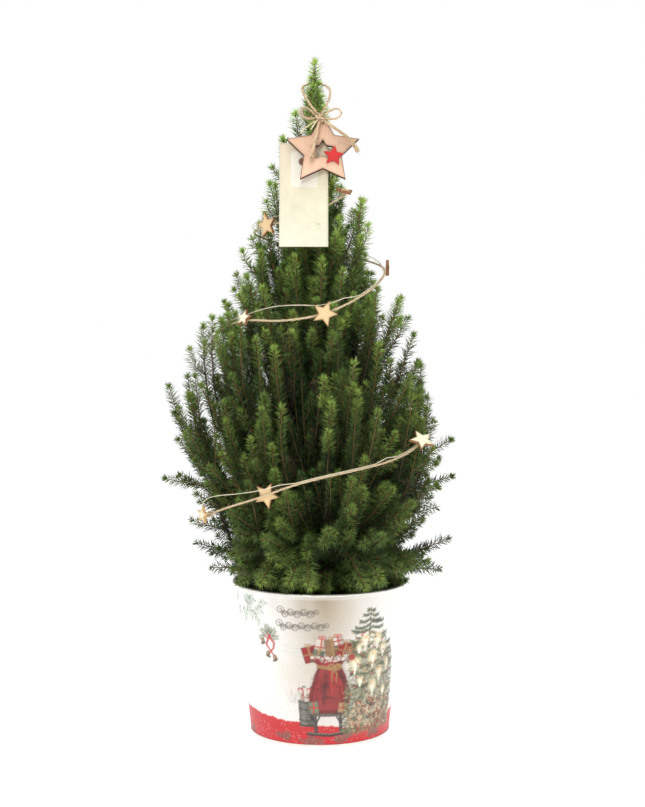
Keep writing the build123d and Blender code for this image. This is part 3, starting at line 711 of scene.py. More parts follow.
# tips that give the outline: x, y, height, needled length, climb at the tip, hue 0 old .. 1 fresh
KEY_TIPS = [
    (-36, -6, 581, 60, 74, 0.6), (-49, 4, 540, 80, 78, 0.7), (-82, 8, 450, 90, 66, 0.5),
    (-70, -30, 446, 85, 74, 0.6), (-114, -6, 400, 100, 88, 0.7), (-103, -34, 408, 110, 86, 0.7),
    (-130, 0, 350, 90, 82, 0.6), (-148, -5, 342, 90, 75, 0.6), (-144, 5, 314, 80, 60, 0.5),
    (-152, -10, 251, 100, 18, 0.4), (-138, -20, 290, 90, 44, 0.5), (-122, 0, 186, 80, 12, 0.2),
    (-106, -20, 164, 70, 4, 0.3), (-120, 10, 226, 85, 22, 0.4), (-128, 14, 206, 80, 14, 0.3),
    (20, -6, 535, 60, 76, 0.6), (42, -6, 522, 90, 74, 0.8), (47, 10, 452, 80, 78, 0.5),
    (78, -20, 427, 95, 66, 0.7), (92, -12, 392, 90, 74, 0.6), (97, 12, 365, 80, 70, 0.4),
    (98, -20, 362, 90, 84, 0.6), (98, 0, 326, 80, 72, 0.5), (129, -8, 289, 90, 34, 0.4),
    (131, 4, 251, 95, 16, 0.3), (117, 12, 219, 80, 12, 0.3), (127, -4, 191, 90, 24, 0.2),
    (118, -14, 162, 75, 2, 0.3), (112, -40, 268, 80, 30, 0.5), (88, 30, 408, 70, 60, 0.4),
    (-96, 30, 424, 70, 64, 0.4),
    # standing shoots on the near side
    (-42, -84, 380, 110, 78, 0.9), (31, -92, 366, 95, 80, 0.8), (55, -76, 383, 95, 78, 0.8),
    (11, -112, 330, 90, 66, 1.0), (53, -100, 322, 70, 74, 0.7), (-87, -78, 312, 75, 68, 0.7),
    (-64, -96, 296, 85, 70, 0.8), (4, -104, 352, 60, 60, 0.9), (-23, -60, 466, 80, 80, 0.7),
    (40, -36, 520, 120, 86, 0.8), (20, -42, 502, 100, 86, 0.7), (37, -32, 506, 80, 86, 0.6),
    (-70, -44, 447, 85, 76, 0.6), (-43, -30, 534, 85, 76, 0.6), (74, -52, 424, 85, 72, 0.6),
    (22, -62, 452, 80, 78, 0.6), (2, -64, 462, 70, 80, 0.7), (-54, -62, 436, 80, 76, 0.7),
    (84, -66, 352, 80, 66, 0.6), (-112, -48, 344, 85, 64, 0.6), (98, -56, 300, 75, 52, 0.6),
    (70, -84, 300, 80, 62, 0.7), (-104, -66, 268, 80, 46, 0.6), (30, -118, 262, 75, 52, 0.8),
    (-30, -118, 250, 75, 50, 0.7), (86, -84, 236, 75, 34, 0.6), (-84, -88, 228, 75, 36, 0.6),
    (-50, -112, 208, 70, 26, 0.7), (8, -116, 214, 70, 30, 0.7), (58, -104, 208, 70, 26, 0.6),
    (0, -58, 492, 60, 78, 0.6), (18, -50, 500, 60, 78, 0.6), (-30, -48, 500, 70, 76, 0.5),
    (44, 4, 470, 85, 82, 0.5), (52, -8, 442, 80, 80, 0.6), (38, 16, 480, 70, 80, 0.5),
    (-57, -20, 498, 90, 84, 0.6), (-52, -30, 506, 90, 84, 0.6), (-60, -6, 478, 80, 82, 0.5),
    (-56, -38, 470, 85, 84, 0.5), (-88, -30, 420, 90, 76, 0.6), (-34, -34, 556, 70, 80, 0.6),
    (54, -54, 436, 90, 84, 0.6), (-80, -52, 412, 110, 88, 0.7), (-120, -30, 352, 85, 84, 0.6),
    (96, -36, 340, 90, 82, 0.5), (98, -34, 308, 90, 80, 0.5), (97, -16, 346, 90, 82, 0.4),
    (-126, -44, 300, 90, 60, 0.5), (110, -60, 250, 80, 40, 0.5), (-118, -50, 240, 85, 34, 0.5),
    (-50, -90, 332, 70, 82, 0.7), (-35, -94, 326, 70, 84, 0.8), (-56, -88, 306, 60, 80, 0.7),
    (-44, -98, 290, 60, 82, 0.8),
    # shoots that stand in front of the cord where it leaves the near side
    (-86, -62, 410, 90, 86, 0.6), (-92, -50, 404, 90, 86, 0.5), (-74, -68, 402, 80, 86, 0.6),
    (96, -68, 312, 75, 80, 0.6), (94, -56, 334, 80, 82, 0.5), (101, -50, 322, 80, 84, 0.5),
    (86, -76, 334, 80, 84, 0.6), (103, -34, 332, 85, 86, 0.5),
    # low shoots that lie over the two ends of the rim
    (-80, -34, 152, 50, -22, 0.6), (-86, -8, 158, 60, -10, 0.5), (-84, -48, 168, 60, -6, 0.7),
    (-92, -20, 174, 65, 2, 0.5), (84, -34, 154, 50, -20, 0.6), (90, -8, 160, 60, -8, 0.5),
    (88, -46, 170, 60, -4, 0.6), (98, -22, 176, 65, 4, 0.5), (-84, 16, 166, 60, -2, 0.4),
    (88, 18, 168, 60, 0, 0.4),
    # pale fans that hang over the front rim
    (-9, -116, 163, 60, -34, 1.0), (-28, -112, 166, 55, -30, 0.9), (-55, -98, 164, 60, -26, 0.9),
    (-82, -80, 186, 60, -6, 0.7), (-45, -108, 190, 60, -4, 0.9), (55, -100, 166, 60, -24, 0.9),
    (42, -106, 160, 55, -28, 0.9), (78, -82, 172, 60, -10, 0.7), (92, -60, 176, 60, 0, 0.6),
    (-74, -76, 160, 50, -18, 0.7),
]
HOLLOWS = [(-10, 344, 16, 66), (2, 232, 11, 22), (7, 186, 8, 30), (60, 200, 10, 12), (-76, 200, 9, 14),
           (-70, 370, 9, 18), (38, 372, 9, 26), (-40, 318, 8, 22)]  # azimuth, height, half sizes

targets = []
for x, y, z, reach, rise, hue in KEY_TIPS:
    az = math.degrees(math.atan2(x - crown_axis(z), -y))
    targets.append((np.array([x, y, z], float), reach, rise, az + rng.normal(0, 6), hue, 1.0))
GOLDEN = 137.507764
FILL = 470
for i in range(FILL):
    q = (i + 0.5) / FILL
    z = float(np.interp(q, [0, 0.1, 0.3, 0.52, 0.72, 0.87, 0.96, 1],
                        [142, 168, 218, 275, 340, 415, 490, 575]))
    az = (i * GOLDEN) % 360 - 180 + rng.normal(0, 4)
    z += rng.normal(0, 7)
    depth = rng.random()
    share = 1 - 0.34 * depth ** 1.6 if i % 4 else 0.75 - 0.35 * depth
    if any(abs(az - a) < da and abs(z - h) < dz and share > 0.62 for a, h, da, dz in HOLLOWS):
        share = 0.36
    r = (crown(az, z) - 3) * share
    tip = around(az, r, z, crown_axis(z))
    reach = float(np.interp(z, [150, 230, 300, 450, 570], [74, 92, 112, 100, 64])) * rng.uniform(0.82, 1.15)
    # shoots set further in get an older, darker green: partly older growth, partly painted shade deep in
    # the bush
    hue = np.clip(rng.normal(0.45, 0.2) + (share - 0.85) * 0.8, 0, 1)
    if z < 250 and 55 < abs(az) < 130 and rng.random() < 0.1:
        hue = -0.2
    targets.append((tip, reach, float(climb(z)) + rng.normal(0, 7), az + rng.normal(0, 12), hue, share))
for i in range(230):
    z = float(np.interp((i + 0.5) / 230, [0, 0.3, 0.6, 0.85, 1], [165, 240, 320, 410, 530]))
    az = (i * GOLDEN + 60) % 360 - 180
    inner = rng.uniform(0.22, 0.66)
    tip = around(az, crown(az, z) * inner, z, crown_axis(z))
    # these inner shoots hold the oldest green: partly older growth, partly painted shade inside the bush
    targets.append((tip, rng.uniform(70, 100), float(climb(z)) + rng.normal(0, 8), az + rng.normal(0, 20),
                    0.0, inner))
for i in range(16):
    z = 572 + i * 4.6
    az = i * GOLDEN
    r = float(np.interp(z, [566, 600, 645], [13, 9, 4])) * rng.uniform(0.6, 1.25)
    targets.append((around(az, r, z, crown_axis(z)), rng.uniform(22, 40), 78 + rng.normal(0, 6), az, 0.8,
                    0.9))
targets.append((np.array([-4.5, 0.0, 656.0]), 120, 88, 20, 0.75, 0.0))
targets.append((np.array([-24.0, -4.0, 606.0]), 55, 80, -80, 0.7, 0.95))
targets.append((np.array([4.0, -6.0, 612.0]), 50, 82, 60, 0.7, 0.95))

targets.sort(key=lambda t: t[5] + 0.002 * t[0][2])
wood = [np.array([np.interp(z, TRUNK_LINE[:, 2],
                            TRUNK_LINE[:, k]) for k in range(3)]) for z in np.arange(128, 640, 6)]
wood_points = np.array(wood)
shoots = []


def bezier(p0, p1, p2, p3, n):
    s = np.linspace(0, 1, n)[:, None]
    return (1 - s) ** 3 * p0 + 3 * (1 - s) ** 2 * s * p1 + 3 * (1 - s) * s * s * p2 + s ** 3 * p3


for tip, reach, rise, az, hue, share in targets:
    ahead = aim(az, rise)
    foot = tip - aim(az, rise - 5) * reach
    axis = np.array([crown_axis(foot[2]), 0, foot[2]])
    if np.dot(foot - axis, aim(az, 0)) < 4:
        foot = axis + aim(az, 0) * 5 + np.array([0, 0, 0.0])
    foot[2] = max(foot[2], 134)
    d = np.linalg.norm(wood_points - foot, axis=1)
    d = d + np.maximum(0, wood_points[:, 2] - foot[2]) * 1.5
    start = wood_points[np.argmin(d)]
    limb = np.linalg.norm(foot - start)
    stand = np.linalg.norm(tip - foot)
    turn_up = aim(az, rise - 16)
    outward = unit(unit(foot - start) + 0.5 * aim(az, 10))
    lower_part = bezier(start, start + outward * limb * 0.4, foot - turn_up * limb * 0.3, foot,
                        max(4, int(limb / 8)))
    upper_part = bezier(foot, foot + turn_up * stand * 0.33, tip - ahead * stand * 0.33, tip,
                        max(8, int(stand / 7)))
    path = np.concatenate([lower_part[:-1], upper_part])
    wander = np.linspace(0, 1, len(path))[:, None]
    path = (path + np.sin(wander * math.pi) * rng.normal(0, 1.6, 3)
            + np.sin(wander * 9) * rng.normal(0, 0.5, 3) * wander)
    run = np.concatenate([[0], np.cumsum(np.linalg.norm(np.diff(path, axis=0), axis=1))])
    dense = 1.0 if share > 0.7 or share == 0.0 else 0.7
    shoots.append((path, min(reach * (1.5 if tip[2] > 200 else 1.15), run[-1] * 0.94), hue, False, dense))
    keep = path[(run < run[-1] - 42)]
    if len(keep):
        wood_points = np.concatenate([wood_points, keep])
    if tip[2] < 610 and run[-1] > 45:
        for _ in range(rng.integers(0, 3)):
            back = rng.uniform(26, min(64, run[-1] * 0.75))
            at = np.array([np.interp(run[-1] - back, run, path[:, k]) for k in range(3)])
            ahead_here = unit(np.array([np.interp(run[-1] - back + 4, run,
                                                  path[:, k]) for k in range(3)]) - at)
            swing = unit(rng.normal(0, 1, 3) + 0.8 * aim(az, 0))
            swing = unit(swing - ahead_here * np.dot(swing, ahead_here))
            length = rng.uniform(0.4, 0.75) * back
            end = at + length * unit(ahead_here + swing * 0.5)
            twig = bezier(at, at + unit(ahead_here + 1.3 * swing) * length * 0.35,
                          end - ahead_here * length * 0.45, end, max(6, int(length / 4)))
            shoots.append((twig, length * 0.96, hue + rng.normal(0.05, 0.08), True, dense))

OLD_GREEN, MID_GREEN, FRESH_GREEN = linear(27, 46, 22), linear(54, 86, 38), linear(132, 160, 74)
GREY_NEEDLE, TWIG_YOUNG, TWIG_OLD = linear(86, 82, 62), linear(128, 106, 60), linear(48, 38, 28)
needle_shapes, twig_shapes = {}, {}


def grow_needles(shape, path, needled, hue, side, density, longer=1.0):
    run = np.concatenate([[0], np.cumsum(np.linalg.norm(np.diff(path, axis=0), axis=1))])
    total = run[-1]
    near = min(needled, 80.0)
    count = int((near * (2.4 if side else 2.8) + (needled - near) * 1.5) * density) + 30
    q = (np.arange(count) + rng.uniform(0, 1, count)) / count
    if needled > near:
        s = total - np.interp(q, [0, 0.42 * (needled - near) / needled + 0.02, 1], [needled, near, 0])
    else:
        s = total - needled * (1 - q)
    tuft = rng.uniform(0, 1, count) < (12.0 if path[-1][2] < 230 else 22.0 if side else 32.0) / count
    s = np.where(tuft, total - 3.2 * rng.uniform(0, 1, count) ** 1.5, s)
    s = np.minimum(s, total - 0.2)
    t, u, v = frames_along(path)

    def sample(a):
        return np.stack([np.interp(s, run, a[:, k]) for k in range(3)], -1)

    p, t, u, v = sample(path), unit(sample(t)), unit(sample(u)), unit(sample(v))
    left = total - s
    phi = np.arange(count) * GOLDEN_ANGLE + rng.normal(0, 0.35, count)
    lean = np.interp(left, [0, 2, 6, 14, 40], [20, 56, 70, 66, 60]) + rng.normal(0, 11, count)
    lean = np.where(tuft, rng.uniform(8, 84, count), lean)
    lean = np.radians(np.clip(lean, 4, 88))
    length = (np.interp(left, [0, 4, 10, 24, 70, 130], [4.4, 7.0, 8.8, 9.4, 9.2, 7.0])
              * rng.uniform(0.72, 1.16, count) * longer)
    length = np.where(tuft, 5.8 * longer * rng.uniform(0.75, 1.1, count), length)
    out = np.cos(phi)[:, None] * u + np.sin(phi)[:, None] * v
    go = unit(np.cos(lean)[:, None] * t + np.sin(lean)[:, None] * out)
    base = p + out * 0.5
    e1 = unit(np.cross(go, out + 0.01))
    e2 = np.cross(go, e1)
    half = np.interp(left, [0, 20, 80], [0.42, 0.46, 0.42]) * rng.uniform(0.85, 1.15, count)
    mid = base + go * (length * 0.22)[:, None]
    end = base + go * length[:, None] + t * (length * 0.1)[:, None]
    ring = [mid + half[:, None] * (math.cos(a) * e1 + math.sin(a) * e2) for a in (0.0, 2.0944, 4.1888)]
    verts = np.stack([base, *ring, end], 1)
    local = np.array([(0, 2, 1), (0, 3, 2), (0, 1, 3), (4, 1, 2), (4, 2, 3), (4, 3, 1)])
    faces = (np.arange(count) * 5)[:, None, None] + local[None]
    if hue < 0:
        young, old = GREY_NEEDLE, GREY_NEEDLE * 0.6
    else:
        young = MID_GREEN * (1 - hue) + FRESH_GREEN * hue
        old = OLD_GREEN * (1 - 0.5 * hue) + MID_GREEN * 0.5 * hue
    fresh = np.clip(np.interp(left, [0, 7, 16, 40, 90], [1.0, 0.9, 0.5, 0.28, 0.0])
                    + rng.normal(0, 0.14, count), 0, 1)[:, None]
    # painted shade: needles darken the further they sit back from the shoot's tip, into the bush; painted
    # light: they brighten with height on the tree
    depth = np.interp(left, [0, 12, 40, 110, 170], [1.06, 1.0, 0.84, 0.45, 0.3])[:, None]
    depth = depth * np.interp(p[:, 2], [150, 240, 320, 400, 500, 640],
                              [0.84, 0.84, 0.92, 1.2, 1.6, 2.0])[:, None]
    colour = ((old * (1 - fresh) + young * fresh) * depth
              * rng.uniform(0.65, 1.4, count)[:, None] * (1.06, 1.0, 0.9))
    colour[rng.random(count) < 0.012] = linear(140, 100, 56)
    # each needle is darker at its foot, where it meets the twig, and lighter at its point: painted shade
    # and painted light
    tint = np.stack([colour * 0.75, colour, colour, colour, colour * 1.25 + linear(14, 14, 4)], 1)
    shape.add(verts.reshape(-1, 3), faces.reshape(-1, 3), tint.reshape(-1, 3))


for path, needled, hue, side, dense in shoots:
    key = sector_of(path[-1] if not side else path[-1])
    shape = needle_shapes.setdefault(key, Shape())
    low = path[-1][2] < 235
    fan = hue > 0.85 and low and path[-1][2] < 175 and not side
    grow_needles(shape, path, needled, hue if fan or not low else hue * 0.75, side, dense,
                 1.35 if fan else 1.15 if low or key[0] == "leader" else 1.0)
    wood_shape = twig_shapes.setdefault(key if key[0] != "leader" else ("top", "right"), Shape())
    run = np.concatenate([[0], np.cumsum(np.linalg.norm(np.diff(path, axis=0), axis=1))])
    left = run[-1] - run
    radius = np.interp(left, [0, 20, 60, 140, 260], [0.4, 0.6, 0.9, 1.5, 2.5]) * (0.8 if side else 1)
    verts, faces = tube(path, radius, 5)
    mixed = np.interp(left, [0, 45, 90], [0, 0.4, 1])[:, None]
    tint = (TWIG_YOUNG * (1 - mixed) + TWIG_OLD * mixed) * rng.uniform(0.85, 1.15)
    tint = np.concatenate([np.repeat(tint, 5, axis=0), tint[:1], tint[-1:]])
    wood_shape.add(verts, faces, tint)

for (tier, side), shape in sorted(needle_shapes.items()):
    if tier == "leader":
        shape.piece("leader_shoots", NEEDLE, "planting", "needles", ("leader_needles",))
    else:
        shape.piece(f"{tier}_{side}_shoots", NEEDLE, "planting", "needles", (f"{tier}_needles_{side}",))
for (tier, side), shape in sorted(twig_shapes.items()):
    shape.piece(f"{tier}_{side}_twigs", BARK, "planting", "bark", (f"{tier}_branch_{side}",))

# ---------------------------------------------------------------- soil crumbs
crumbs = Shape()
for _ in range(420):
    a, r = rng.uniform(0, 360), 70 * math.sqrt(rng.random())
    size = rng.uniform(0.8, 2.6)
    core_u, core_v = np.meshgrid(np.linspace(0, 2 * math.pi, 6, endpoint=False), np.linspace(-1.3, 1.3, 4))
    lump = np.stack([np.cos(core_v) * np.cos(core_u), np.cos(core_v) * np.sin(core_u),
                     np.sin(core_v) * 0.7], -1)
    lump = lump.reshape(-1, 3) * size * rng.uniform(0.75, 1.2, (24, 1))
    centre = around(a, r, 118.5 + rng.uniform(-1, 1.5))
    crumbs.add(centre + lump, grid_faces(4, 6, True)[:, ::-1],
               linear(62, 44, 32) * rng.uniform(0.6, 1.6))
crumbs.piece("soil_surface_crumbs", CRUMBS, "planting", "soil")

# ---------------------------------------------------------------- printed tin
IVORY = linear(252, 250, 246)


TIN_BASE_RADIUS = 68
TIN_FLARE = 16.6
TIN_HEIGHT = 150
# the radius at which widths along the print are measured
PRINT_RADIUS = 77


def tin_radius(z):
    return TIN_BASE_RADIUS + TIN_FLARE * z / TIN_HEIGHT


az_front = np.linspace(-95, 95, 340)
az_back = np.linspace(95, 265, 152)[1:-1]
print_az = np.concatenate([az_front, az_back])
print_z = np.concatenate([[3.2], np.linspace(4.0, 147.0, 190)])
PA, PZ = np.meshgrid(print_az, print_z)
seam = np.clip(1 - (np.abs(((PA - 180 + 180) % 360) - 180) * 76 * math.pi / 180 - 2.7) / 1.0, 0, 1)
PR = tin_radius(PZ) + 0.09 + 0.8 * seam
points = around(PA.ravel(), PR.ravel(), PZ.ravel())
S = (np.radians(((PA + 180) % 360) - 180) * PRINT_RADIUS).ravel()
Z = PZ.ravel()
canvas = np.tile(IVORY, (len(Z), 1))


def lay(mask, colour):
    """Paints a colour over the canvas where mask is above 0."""
    canvas[:] = canvas * (1 - mask[:, None]) + np.clip(mask, 0, 1)[:, None] * colour


def soft(d, edge=0.6):
    """1 inside a shape (d below 0) and 0 outside it, with a soft edge in mm."""
    return np.clip(0.5 - d / edge, 0, 1)


def blob(s, z, w, h, turn=0.0):
    c, n = math.cos(math.radians(turn)), math.sin(math.radians(turn))
    x, y = (S - s) * c + (Z - z) * n, -(S - s) * n + (Z - z) * c
    k = np.sqrt((x / w) ** 2 + (y / h) ** 2)
    return (k - 1) * min(w, h)


def stroke(pts, w0, w1=None):
    """Distance outside a line through the points whose half width runs from w0 to w1."""
    w1 = w0 if w1 is None else w1
    best = np.full(len(S), 1e9)
    n = len(pts) - 1
    for k in range(n):
        (x0, y0), (x1, y1) = pts[k], pts[k + 1]
        dx, dy = x1 - x0, y1 - y0
        near = (np.abs(S - (x0 + x1) / 2) < abs(dx) / 2 + 6) & (np.abs(Z - (y0 + y1) / 2) < abs(dy) / 2 + 6)
        q = np.clip(((S[near] - x0) * dx + (Z[near] - y0) * dy) / max(dx * dx + dy * dy, 1e-9), 0, 1)
        dist = np.hypot(S[near] - x0 - q * dx, Z[near] - y0 - q * dy)
        best[near] = np.minimum(best[near], dist - (w0 + (w1 - w0) * (k + q) / n))
    return best


front_s = np.radians(az_front) * PRINT_RADIUS


def dab(pts, w0, w1, colour, alpha, edge=0.6):
    """A quick small stroke on the near half of the tin."""
    xs, zs = [p[0] for p in pts], [p[1] for p in pts]
    pad = max(w0, w1) + edge
    c0, c1 = np.searchsorted(front_s, [min(xs) - pad, max(xs) + pad])
    r0, r1 = np.searchsorted(print_z, [min(zs) - pad, max(zs) + pad])
    if c1 <= c0 or r1 <= r0:
        return
    gs, gz = front_s[c0:c1][None, :], print_z[r0:r1][:, None]
    best = np.full((r1 - r0, c1 - c0), 1e9)
    n = len(pts) - 1
    for k in range(n):
        (x0, y0), (x1, y1) = pts[k], pts[k + 1]
        dx, dy = x1 - x0, y1 - y0
        q = np.clip(((gs - x0) * dx + (gz - y0) * dy) / max(dx * dx + dy * dy, 1e-9), 0, 1)
        best = np.minimum(best,
                          np.hypot(gs - x0 - q * dx, gz - y0 - q * dy) - (w0 + (w1 - w0) * (k + q) / n))
    part = (alpha * np.clip(0.5 - best / edge, 0, 1))[..., None]
    view = canvas.reshape(len(print_z), len(print_az), 3)
    view[r0:r1, c0:c1] = view[r0:r1, c0:c1] * (1 - part) + part * colour


def slab(s, z, w, h, turn=0.0):
    c, n = math.cos(math.radians(turn)), math.sin(math.radians(turn))
    x, y = (S - s) * c + (Z - z) * n, -(S - s) * n + (Z - z) * c
    return np.maximum(np.abs(x) - w, np.abs(y) - h)


def arc_at(az):
    return math.radians(az) * PRINT_RADIUS


# painted shade on the print: the near-white ground greys and warms towards the middle of the near side and
# towards the top, in soft patches
shade_patchiness = 0.5 + 0.5 * wave(S / 16 + 0.5 * wave(Z / 13, 3), 21) * wave(Z / 15 + 0.4 * wave(S / 21, 4), 22)
shade_by = np.interp(Z, [15, 75, 110, 147],
                     [0.2, 0.38, 0.44, 0.54]) * np.exp(-((S - 4) / 38) ** 2) * (0.85 + 0.3 * shade_patchiness)
canvas *= 1 - shade_by[:, None] * np.array([1.0, 1.14, 1.3])
for s, z, w, h in [(-22, 75, 20, 10), (-30, 60, 16, 14), (20, 128, 24, 8), (-10, 135, 30, 6),
                   (12, 108, 12, 6)]:
    lay(0.14 * soft(blob(s, z, w, h), 9), linear(206, 190, 160))
# faint village sketch
for z, a0, a1 in [(100, -27, -12), (97.5, -24, -9), (94, -28, -15), (90, -20, -8)]:
    lay(0.25 * soft(stroke([(arc_at(a0), z), (arc_at(a1), z - 1)], 0.25), 0.8), linear(150, 146, 140))
r2 = np.random.default_rng(61)
for _ in range(16):
    s, z = r2.uniform(-44, -14), r2.uniform(62, 92)
    lay(0.1 * soft(stroke([(s, z), (s + r2.uniform(-1, 1), z + r2.uniform(3, 9))], 0.3), 1.0),
        linear(150, 144, 132))


def sprig(s, z, size, turn, leaf, dark, count=9, berries=0):
    c, n = math.cos(math.radians(turn)), math.sin(math.radians(turn))
    stem = [(s, z), (s + c * size * 0.5, z + n * size * 0.5 + 1), (s + c * size, z + n * size)]
    lay(0.6 * soft(stroke(stem, 0.35, 0.2)), dark)
    for k in range(count):
        q = (k + 1) / (count + 1)
        side = 1 if k % 2 else -1
        ang = turn + side * 48
        lx, lz = s + c * size * q, z + n * size * q
        ca, sa = math.cos(math.radians(ang)), math.sin(math.radians(ang))
        le = size * 0.2 * (1.2 - 0.4 * q)
        lay(0.75 * soft(blob(lx + ca * le, lz + sa * le, le, le * 0.36, ang)), leaf if k % 3 else dark)
    for k in range(berries):
        lay(0.8 * soft(blob(s + r2.uniform(-2, 2), z + r2.uniform(-2, 2), 0.9, 0.9)), linear(176, 60, 58))


PALE_LEAF, DEEP_LEAF = linear(186, 202, 184), linear(128, 150, 124)
for a, z, size, turn in [(-62, 142, 15, -20), (-60, 136, 16, 18), (-58, 134, 15, -50), (-62, 132, 14, -80),
                         (-70, 138, 12, 200), (-68, 130, 12, 235), (-52, 128, 14, 12), (-48, 126, 11, -70),
                         (-46, 134, 12, 30)]:
    sprig(arc_at(a), z, size, turn, PALE_LEAF, DEEP_LEAF, 7)
# bells with greenery and ribbon
HOLLY, HOLLY_DARK, PRINT_RED = linear(112, 128, 84), linear(70, 86, 58), linear(190, 48, 50)
for a, z, size, turn in [(-38, 108, 10, 100), (-38, 107, 10, 150), (-37, 107, 10, 40), (-36, 105, 9, 10),
                         (-40, 105, 9, 190), (-37, 108, 8, 75)]:
    sprig(arc_at(a), z, size, turn, HOLLY, HOLLY_DARK, 8, 2)
lay(0.9 * soft(stroke([(arc_at(-37), 106), (arc_at(-40), 98), (arc_at(-37), 93), (arc_at(-33), 87)], 1.3,
                      0.8)), PRINT_RED)
lay(0.9 * soft(stroke([(arc_at(-37), 106), (arc_at(-33), 100), (arc_at(-34), 95), (arc_at(-39), 88)], 1.3,
                      0.8)), PRINT_RED)
for a, z, turn in [(-43, 101, 20), (-39, 89, -15), (-33, 86, 25)]:
    s = arc_at(a)
    lay(0.9 * soft(blob(s, z, 2.5, 3.2, turn)), linear(128, 98, 72))
    lay(0.9 * soft(blob(s, z - 2.4, 3.3, 1.3, turn)), linear(96, 72, 54))
    lay(0.7 * soft(blob(s - 0.8, z + 0.6, 0.6, 1.6, turn)), linear(214, 186, 142))
# pen flourish: loops and tendrils only
INK = linear(112, 104, 94)


def spiral(s, z, r0, r1, a0, turns, sx=1.0):
    a = np.linspace(0, turns * 2 * math.pi, 34)
    r = np.linspace(r0, r1, 34)
    return [(s + sx * r_ * math.cos(a0 + a_), z + r_ * math.sin(a0 + a_)) for a_, r_ in zip(a, r)]


for row_z, s0, s1, curls in [(131, -35, -5, 5), (118, -37, 4, 7)]:
    pitch = (s1 - s0) / curls
    x = np.linspace(s0, s1, 30 * curls)
    z = row_z + 2.0 * np.sin((x - s0) / pitch * math.pi) + (x - s0) * 0.03
    for k in range(0, len(x) - 4, 3):
        heavy = 0.4 + 0.45 * abs(math.cos((x[k] - s0) / pitch * math.pi))
        dab(list(zip(x[k:k + 5], z[k:k + 5])), heavy, heavy, INK, 0.55)
    for k in range(curls):
        up = 1 if k % 2 == 0 else -1
        at = s0 + (k + 0.5) * pitch
        curl = spiral(at, row_z - up * 1.4 + (at - s0) * 0.03, 3.3, 0.7, up * 1.2, -up * 1.35)
        for j in range(0, len(curl) - 3, 2):
            dab(curl[j:j + 4], 0.35 + 0.3 * (j / len(curl)), 0.4, INK, 0.55)
        dab([(at + pitch * 0.4, row_z + up * 1.0), (at + pitch * 0.75, row_z + up * 4.6)], 0.7, 0.15, INK,
            0.6)
    lay(0.8 * soft(stroke(spiral(s0 - 1, row_z + 2.5, 4.6, 0.8, -1.2, 1.5), 0.35, 0.7), 0.7), INK)
    lay(0.8 * soft(stroke(spiral(s1 + 2, row_z + 1.6, 3.2, 0.6, 3.6, -1.4), 0.3, 0.6), 0.7), INK)
# worn red band at the foot
edge = np.interp(S, [-130, -92, -70, -46, -23, 0, 27, 52, 95, 130],
                 [30, 29, 28, 26, 25, 22, 20, 20, 25, 30])
edge = edge + 0.7 * wave(S / 5, 31) + 0.5 * wave(S / 1.7, 32)
BAND = linear(206, 30, 38)
band = soft(Z - edge, 1.2)
lay(band, BAND)
# painted shade: the band is darker red at the middle of the near side
lay(band * 0.35 * soft(blob(0, 16, 44, 10), 14), linear(178, 40, 40))
for a, z, w, h in [(-29, 10, 9, 3.5), (-72, 8, 8, 4), (-6, 7, 11, 4.5), (17, 8, 7, 4), (48, 10, 8, 4.5),
                   (24, 13, 8, 3), (100, 9, 9, 4), (150, 12, 8, 4), (-120, 10, 9, 4), (-160, 8, 7, 3)]:
    rag = blob(arc_at(a), z, w, h) + 1.3 * wave(S / 2.1, 33) + 1.0 * wave(Z / 1.4 + S / 3, 34)
    lay(0.85 * soft(rag, 1.2) * band, linear(132, 84, 74))
for _ in range(420):
    s, z = r2.uniform(-240, 240), r2.uniform(4, 26)
    lay(0.6 * soft(blob(s, z, r2.uniform(0.25, 0.7), r2.uniform(0.2, 0.5)), 0.5) * band,
        linear(232, 190, 180))
for _ in range(150):
    s, z = r2.normal(-50, 14), r2.uniform(25, 44)
    lay(0.35 * soft(blob(s, z, 0.5, 0.35), 0.5), linear(200, 120, 104))
# basket with sticks, and bare twigs behind
for _ in range(26):
    x = -24 + r2.uniform(-9, 9)
    lay(0.25 * soft(stroke([(x, 44), (x + r2.uniform(-5, 5), 58 + r2.uniform(-6, 8))], 0.3, 0.15)),
        linear(120, 120, 112))
for k, (x, lean) in enumerate([(-18, -3), (-15.5, -1.5), (-13, 0.5), (-10.5, 1.5), (-8.5, 2.5)]):
    dab([(x, 44), (x + lean, 57 + k % 2 * 2)], 0.7, 0.7, PRINT_RED if k % 2 else linear(196, 186, 170), 0.9)
    dab(spiral(x + lean + 1.5, 57 + k % 2 * 2, 1.6, 1.6, 3.14, -0.45), 0.7, 0.6,
        PRINT_RED if k % 2 == 0 else linear(96, 92, 86), 0.9)
for _ in range(30):
    x, z = r2.uniform(-20, -6), r2.uniform(46, 53)
    dab([(x, z), (x + r2.uniform(-2, 2), z + r2.uniform(0, 3))], 0.6, 0.3,
        [linear(150, 60, 54), linear(170, 130, 110), linear(86, 84, 74)][r2.integers(0, 3)], 0.8)
barrel = np.maximum(np.abs(S + 13.5) - 7.2 - 0.04 * (Z - 22), np.abs(Z - 33.5) - 12.5)
lay(0.95 * soft(barrel, 0.8), linear(92, 90, 80))
lay(0.6 * soft(np.maximum(barrel, -(S + 10)), 4.0), linear(44, 42, 38))
lay(0.5 * soft(np.maximum(barrel, np.abs(S + 16.5) - 1.6), 2.5), linear(150, 148, 136))
for q in np.arange(23, 45, 2.6):
    for k, x in enumerate(np.arange(-20, -7.5, 2.6)):
        up = 0.5 if (k + int(q)) % 2 else -0.5
        dab([(x, q + up), (x + 2.0, q + up)], 0.5, 0.5,
            linear(130, 126, 112) if up > 0 else linear(60, 58, 52), 0.45)
for z, tone in [(46, linear(140, 136, 120)), (45, linear(58, 54, 48)), (38, linear(62, 60, 54)),
                (27, linear(62, 60, 54)), (22, linear(50, 46, 42))]:
    dab([(-21.2, z + 0.7), (-13.5, z - 0.7), (-5.8, z + 0.7)], 0.7, 0.7, tone, 0.8)
